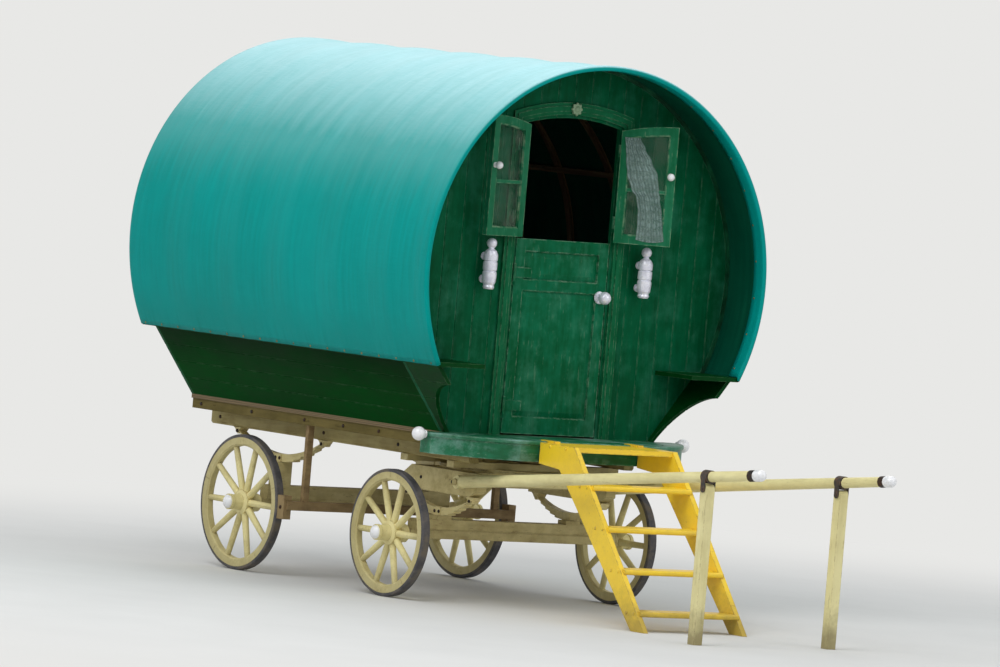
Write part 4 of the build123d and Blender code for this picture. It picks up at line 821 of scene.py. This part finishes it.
def mattress_pad():
    """The pad is swelled by its filling, capped in its growth, and then tufted."""
    growth, margin, voxel = 0.016, 0.012, 0.012
    low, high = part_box("mattress")
    mesh = bmesh.new()
    bmesh.ops.create_cube(mesh, size=1.0)
    bmesh.ops.scale(mesh, vec=[b - a - 2 * margin for a, b in zip(low, high)], verts=mesh.verts[:])
    bmesh.ops.translate(mesh, vec=(low + high) / 2, verts=mesh.verts[:])
    bmesh.ops.bevel(mesh, geom=mesh.edges[:], offset=0.022, offset_type="OFFSET", segments=3,
                    profile=0.5, affect="EDGES", material=-1)
    bmesh.ops.recalc_face_normals(mesh, faces=mesh.faces[:])
    pad = piece("mattress_ticking", mesh, None, None, ticking("mattress ticking"))
    bpy.context.view_layer.objects.active = pad
    pad.select_set(True)
    even = pad.modifiers.new("even mesh", "REMESH")
    even.mode, even.voxel_size = "VOXEL", voxel
    bpy.ops.object.modifier_apply(modifier=even.name)
    unfilled = [vert.co.copy() for vert in pad.data.vertices]
    fill = pad.modifiers.new("filling", "CLOTH")
    fill.settings.use_pressure = True
    fill.settings.uniform_pressure_force = 4.0
    fill.settings.effector_weights.gravity = 0.0
    fill.point_cache.frame_start, fill.point_cache.frame_end = 1, 20
    for step in range(1, 21):
        bpy.context.scene.frame_set(step)
    bpy.ops.object.modifier_apply(modifier=fill.name)
    bpy.context.scene.frame_set(1)
    tufts = [(low.x + 0.16 + 0.213 * i, low.y + 0.14 + 0.252 * j)
             for i in range(4) for j in range(6)]
    for vert, start in zip(pad.data.vertices, unfilled):
        move = vert.co - start
        if move.length > growth:
            vert.co = start + move * (growth / move.length)
        vert.co.z = held(vert.co.z, low.z + 0.0006, high.z + 0.006)
        for axis in (0, 1):
            vert.co[axis] = held(vert.co[axis], low[axis] + 0.001, high[axis] - 0.001)
        if vert.co.z > (low.z + high.z) / 2:
            near = min(math.hypot(vert.co.x - x, vert.co.y - y) for x, y in tufts)
            vert.co.z -= sum(depth * math.exp(-(near / wide) ** 2)
                             for depth, wide in ((0.02, 0.03), (0.006, 0.09)))
    for face in pad.data.polygons:
        face.use_smooth = True
    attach(pad, "wagon")
    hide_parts("mattress")
    pad.select_set(False)


mattress_pad()


# ---- Carved boss on the crown of the casing ----

def turned_boss(centre, radius, depth, petals):
    """A small carved rosette: a turned face whose outer rings are cut into petals."""
    mesh = bmesh.new()
    outline = ((1.0, 0.0), (1.0, 0.35), (0.86, 0.62), (0.62, 0.42), (0.44, 0.5), (0.36, 0.9),
               (0.2, 1.0), (0.0, 1.0))
    line = [mesh.verts.new((out * depth, across * radius, 0)) for across, out in outline]
    turned(mesh, line, (1, 0, 0), 64)
    for vert in mesh.verts:
        reach = math.hypot(vert.co.y, vert.co.z)
        if reach > 0.5 * radius:
            lobe = 0.5 + 0.5 * math.cos(petals * math.atan2(vert.co.z, vert.co.y))
            share = 1 - 0.2 * (1 - lobe) * (reach / radius)
            vert.co.y *= share
            vert.co.z *= share
            vert.co.x += 0.12 * depth * lobe * (vert.co.x > 0)
    bmesh.ops.recalc_face_normals(mesh, faces=mesh.faces[:])
    bmesh.ops.translate(mesh, vec=centre, verts=mesh.verts[:])
    return mesh


casing_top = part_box("door_casing")[1]
piece("door_head_boss",
      turned_boss((casing_top.x + 0.0003, 0, casing_top.z - 0.031), radius=0.034, depth=0.014,
                  petals=8), "wagon", "ledge_green", boss_paint)


# ---- Bolts, pins, screws and tacks ----

def studs(name, places, body, slot, finish, radius, rise):
    """Round heads of one size; places holds where each sits and which way it looks."""
    mesh = bmesh.new()
    profile = ((0, -0.001), (radius, -0.001), (radius, 0.3 * rise), (0.72 * radius, 0.82 * rise),
               (0, rise))
    turned(mesh, [mesh.verts.new((across, 0, out)) for across, out in profile], (0, 0, 1), 12)
    bmesh.ops.recalc_face_normals(mesh, faces=mesh.faces[:])
    pattern = mesh.verts[:]
    head = pattern + mesh.edges[:] + mesh.faces[:]
    for spot, way in places:
        copy = bmesh.ops.duplicate(mesh, geom=head)["geom"]
        seat = Matrix.Translation(spot) @ Vector(way).to_track_quat("Z", "Y").to_matrix().to_4x4()
        bmesh.ops.transform(mesh, matrix=seat,
                            verts=[part for part in copy if isinstance(part, bmesh.types.BMVert)])
    bmesh.ops.delete(mesh, geom=pattern, context="VERTS")
    piece(name, mesh, body, slot, finish)


def both_sides(*spots):
    """Places on the right and the left side, looking outwards."""
    return [((x, side * y, z), (0, side, 0)) for x, y, z in spots for side in (-1, 1)]


def on_roof(x, turn, reach, way=1):
    """A place on the roof, looking outwards, or inwards where way is -1."""
    out = (0, math.cos(turn), math.sin(turn))
    return (x, out[1] * reach, roof_middle + out[2] * reach), [way * part for part in out]


hem_tacks, brow_tacks = 18, 23
nail_turn = hem_turn + 0.011
tacks = [on_roof(x_tail + 0.05 + i * (x_brow - x_tail - 0.1) / (hem_tacks - 1), turn, canvas_reach)
         for i in range(hem_tacks) for turn in (math.pi - nail_turn, nail_turn)]
tacks += [on_roof(x_brow - 0.06, math.radians(-24 + i * 228 / (brow_tacks - 1)),
                  canvas_reach - lip_drop - 0.0006, -1) for i in range(brow_tacks)]
studs("canvas_tacks", tacks, "wagon", "iron", tack_brass, radius=0.0055, rise=0.0028)

rear, front = axle_x["rear"], axle_x["front"]
rail_bolts = [(x, 0.510, 0.742) for x in (-2.1425, -1.2045, -0.5475, 0.0425)]
sill_bolts = [(x, 0.635, 0.803) for x in (-2.1425, -1.68, -1.2045, -0.86, -0.5475, -0.12)]
rear_hangers = [(rear + reach, 0.508, 0.684) for reach in (-0.38, 0.38)]
rear_clips = [(rear + reach, 0.506, 0.58) for reach in (-0.018, 0.018)]
brake_pins = [(-1.2245, 0.725, 0.355)]
studs("frame_bolts", both_sides(*rail_bolts, *sill_bolts, *rear_hangers, *rear_clips, *brake_pins),
      "wagon", "iron", black_iron, radius=0.0095, rise=0.0065)

front_hangers = [(front + reach, 0.428, 0.509) for reach in (-0.27, 0.27)]
front_clips = [(front + reach, 0.426, 0.435) for reach in (-0.018, 0.018)]
futchell_bolts = [(x, 0.430, 0.592) for x in (-0.56, -0.44, -0.17)]
studs("fore_carriage_bolts", both_sides(*front_hangers, *front_clips, *futchell_bolts),
      "fore_carriage", "iron", black_iron, radius=0.009, rise=0.0055)

tread_rise, tread_lean = 0.191, 0.8118
tread_bolts = [(0.6225 + tread_rise * tread_lean * k + reach, 0.317, 0.85 - tread_rise * k)
               for k in (1, 2, 3, 4) for reach in (-0.034, 0.026)]
hook_bolts = [(0.47, 0.317, 0.83), (0.6, 0.317, 0.83)]
studs("step_bolts", both_sides(*tread_bolts, *hook_bolts), "wagon", "yellow", step_yellow,
      radius=0.009, rise=0.0045)

board_top = 0.85
screw_rows = ((0.045, (0.08, 0.3, 0.52, 0.7)), (0.28, (0.08, 0.3, 0.52)))
studs("footboard_screws", [((x, side * y, board_top), (0, 0, 1))
                           for side in (-1, 1) for x, across in screw_rows for y in across],
      "wagon", "iron", ring_iron, radius=0.006, rise=0.0012)


# ---- Floor, light and camera ----

backdrop_colour = colour(232, 232, 230)


def seen(tree):
    """1 for a ray from the camera, off gloss or through glass, which shows the backdrop."""
    path = put(tree, "LightPath").outputs
    by_way = sums(tree, "MAXIMUM", path["Is Glossy Ray"], path["Is Transmission Ray"])
    return sums(tree, "MAXIMUM", path["Is Camera Ray"], by_way)


def standing(name, data, azimuth, elevation, distance, aim, roll=0.0):
    """A lamp or camera that looks at aim; azimuth, elevation and roll are in degrees."""
    a, e = math.radians(azimuth), math.radians(elevation)
    back = Vector((math.sin(a) * math.cos(e), -math.cos(a) * math.cos(e), math.sin(e)))
    made = bpy.data.objects.new(name, data)
    made.location = Vector(aim) + back * distance
    made.rotation_mode = "QUATERNION"
    made.rotation_quaternion = back.to_track_quat("Z", "Y") @ Quaternion((0, 0, 1),
                                                                         math.radians(roll))
    bpy.context.scene.collection.objects.link(made)
    return made


def studio_floor():
    """A wide round floor that takes shadows near the wagon and turns into the backdrop."""
    mesh = bmesh.new()
    bmesh.ops.create_circle(mesh, cap_ends=True, radius=160, segments=96)
    made, tree, shader = finish_named("studio floor")
    place = on_piece(tree)
    shade = blended(tree, between(tree, clouds(tree, place, 1.5, 3), 0.3, 0.7),
                    colour(216, 216, 214), colour(212, 212, 210))
    feed(tree, shader, Base_Color=shade, Specular_IOR_Level=0.1,
         Roughness=between(tree, clouds(tree, place, 12, 3), 0.3, 0.7, 0.85, 0.95))
    bump(tree, shader, clouds(tree, place, 40, 2), 0.02, 0.001)
    away = length_of(tree, stretched(tree, place, (1, 1, 0)))
    far = put(tree, "MapRange", {0: away, 1: 2.6, 2: 8.0},
              interpolation_type="SMOOTHERSTEP").outputs[0]
    plain = put(tree, "Emission", {0: backdrop_colour, 1: 1.0}).outputs[0]
    both = put(tree, "MixShader", {0: times(tree, far, seen(tree)), 1: shader.outputs[0], 2: plain})
    feed(tree, tree.nodes["Material Output"], Surface=both.outputs[0])
    ground = piece("studio_floor", mesh, None, None, made)
    ground.location.z = -0.0005


def studio_light():
    """A soft cool sky, four large lamps, and the plain backdrop where the sky would be seen."""
    world = bpy.data.worlds.new("studio light")
    bpy.context.scene.world = world
    world.use_nodes = True
    tree = world.node_tree
    sky = tree.nodes["Background"]
    feed(tree, sky, Color=(0.94, 0.97, 1.0, 1), Strength=0.6)
    plain = put(tree, "Background", {0: backdrop_colour, 1: 1.0}).outputs[0]
    both = put(tree, "MixShader", {0: seen(tree), 1: sky.outputs[0], 2: plain})
    feed(tree, tree.nodes["World Output"], Surface=both.outputs[0])
    for name, azimuth, elevation, distance, size, power in (
            ("key", 20, 46, 11, 7, 520), ("fill", 110, 28, 12, 8, 240),
            ("back", 250, 42, 12, 8, 260), ("top", 0, 88, 10, 8, 110)):
        lamp = bpy.data.lights.new(name, "AREA")
        lamp.shape, lamp.size, lamp.energy = "DISK", size, power
        standing(name, lamp, azimuth, elevation, distance, (0, 0, 1.3))


def studio_camera():
    """The photograph's view: from far off, a little turned about its own axis."""
    made = bpy.data.cameras.new("camera")
    made.lens, made.sensor_width, made.clip_end = 326, 36, 600
    bpy.context.scene.camera = standing("camera", made, azimuth=54, elevation=2.2, distance=45,
                                        aim=(0, -0.337, 1.352), roll=4.8)


studio_floor()
studio_light()
studio_camera()
bpy.context.scene.view_settings.view_transform = "Standard"
bpy.context.view_layer.update()
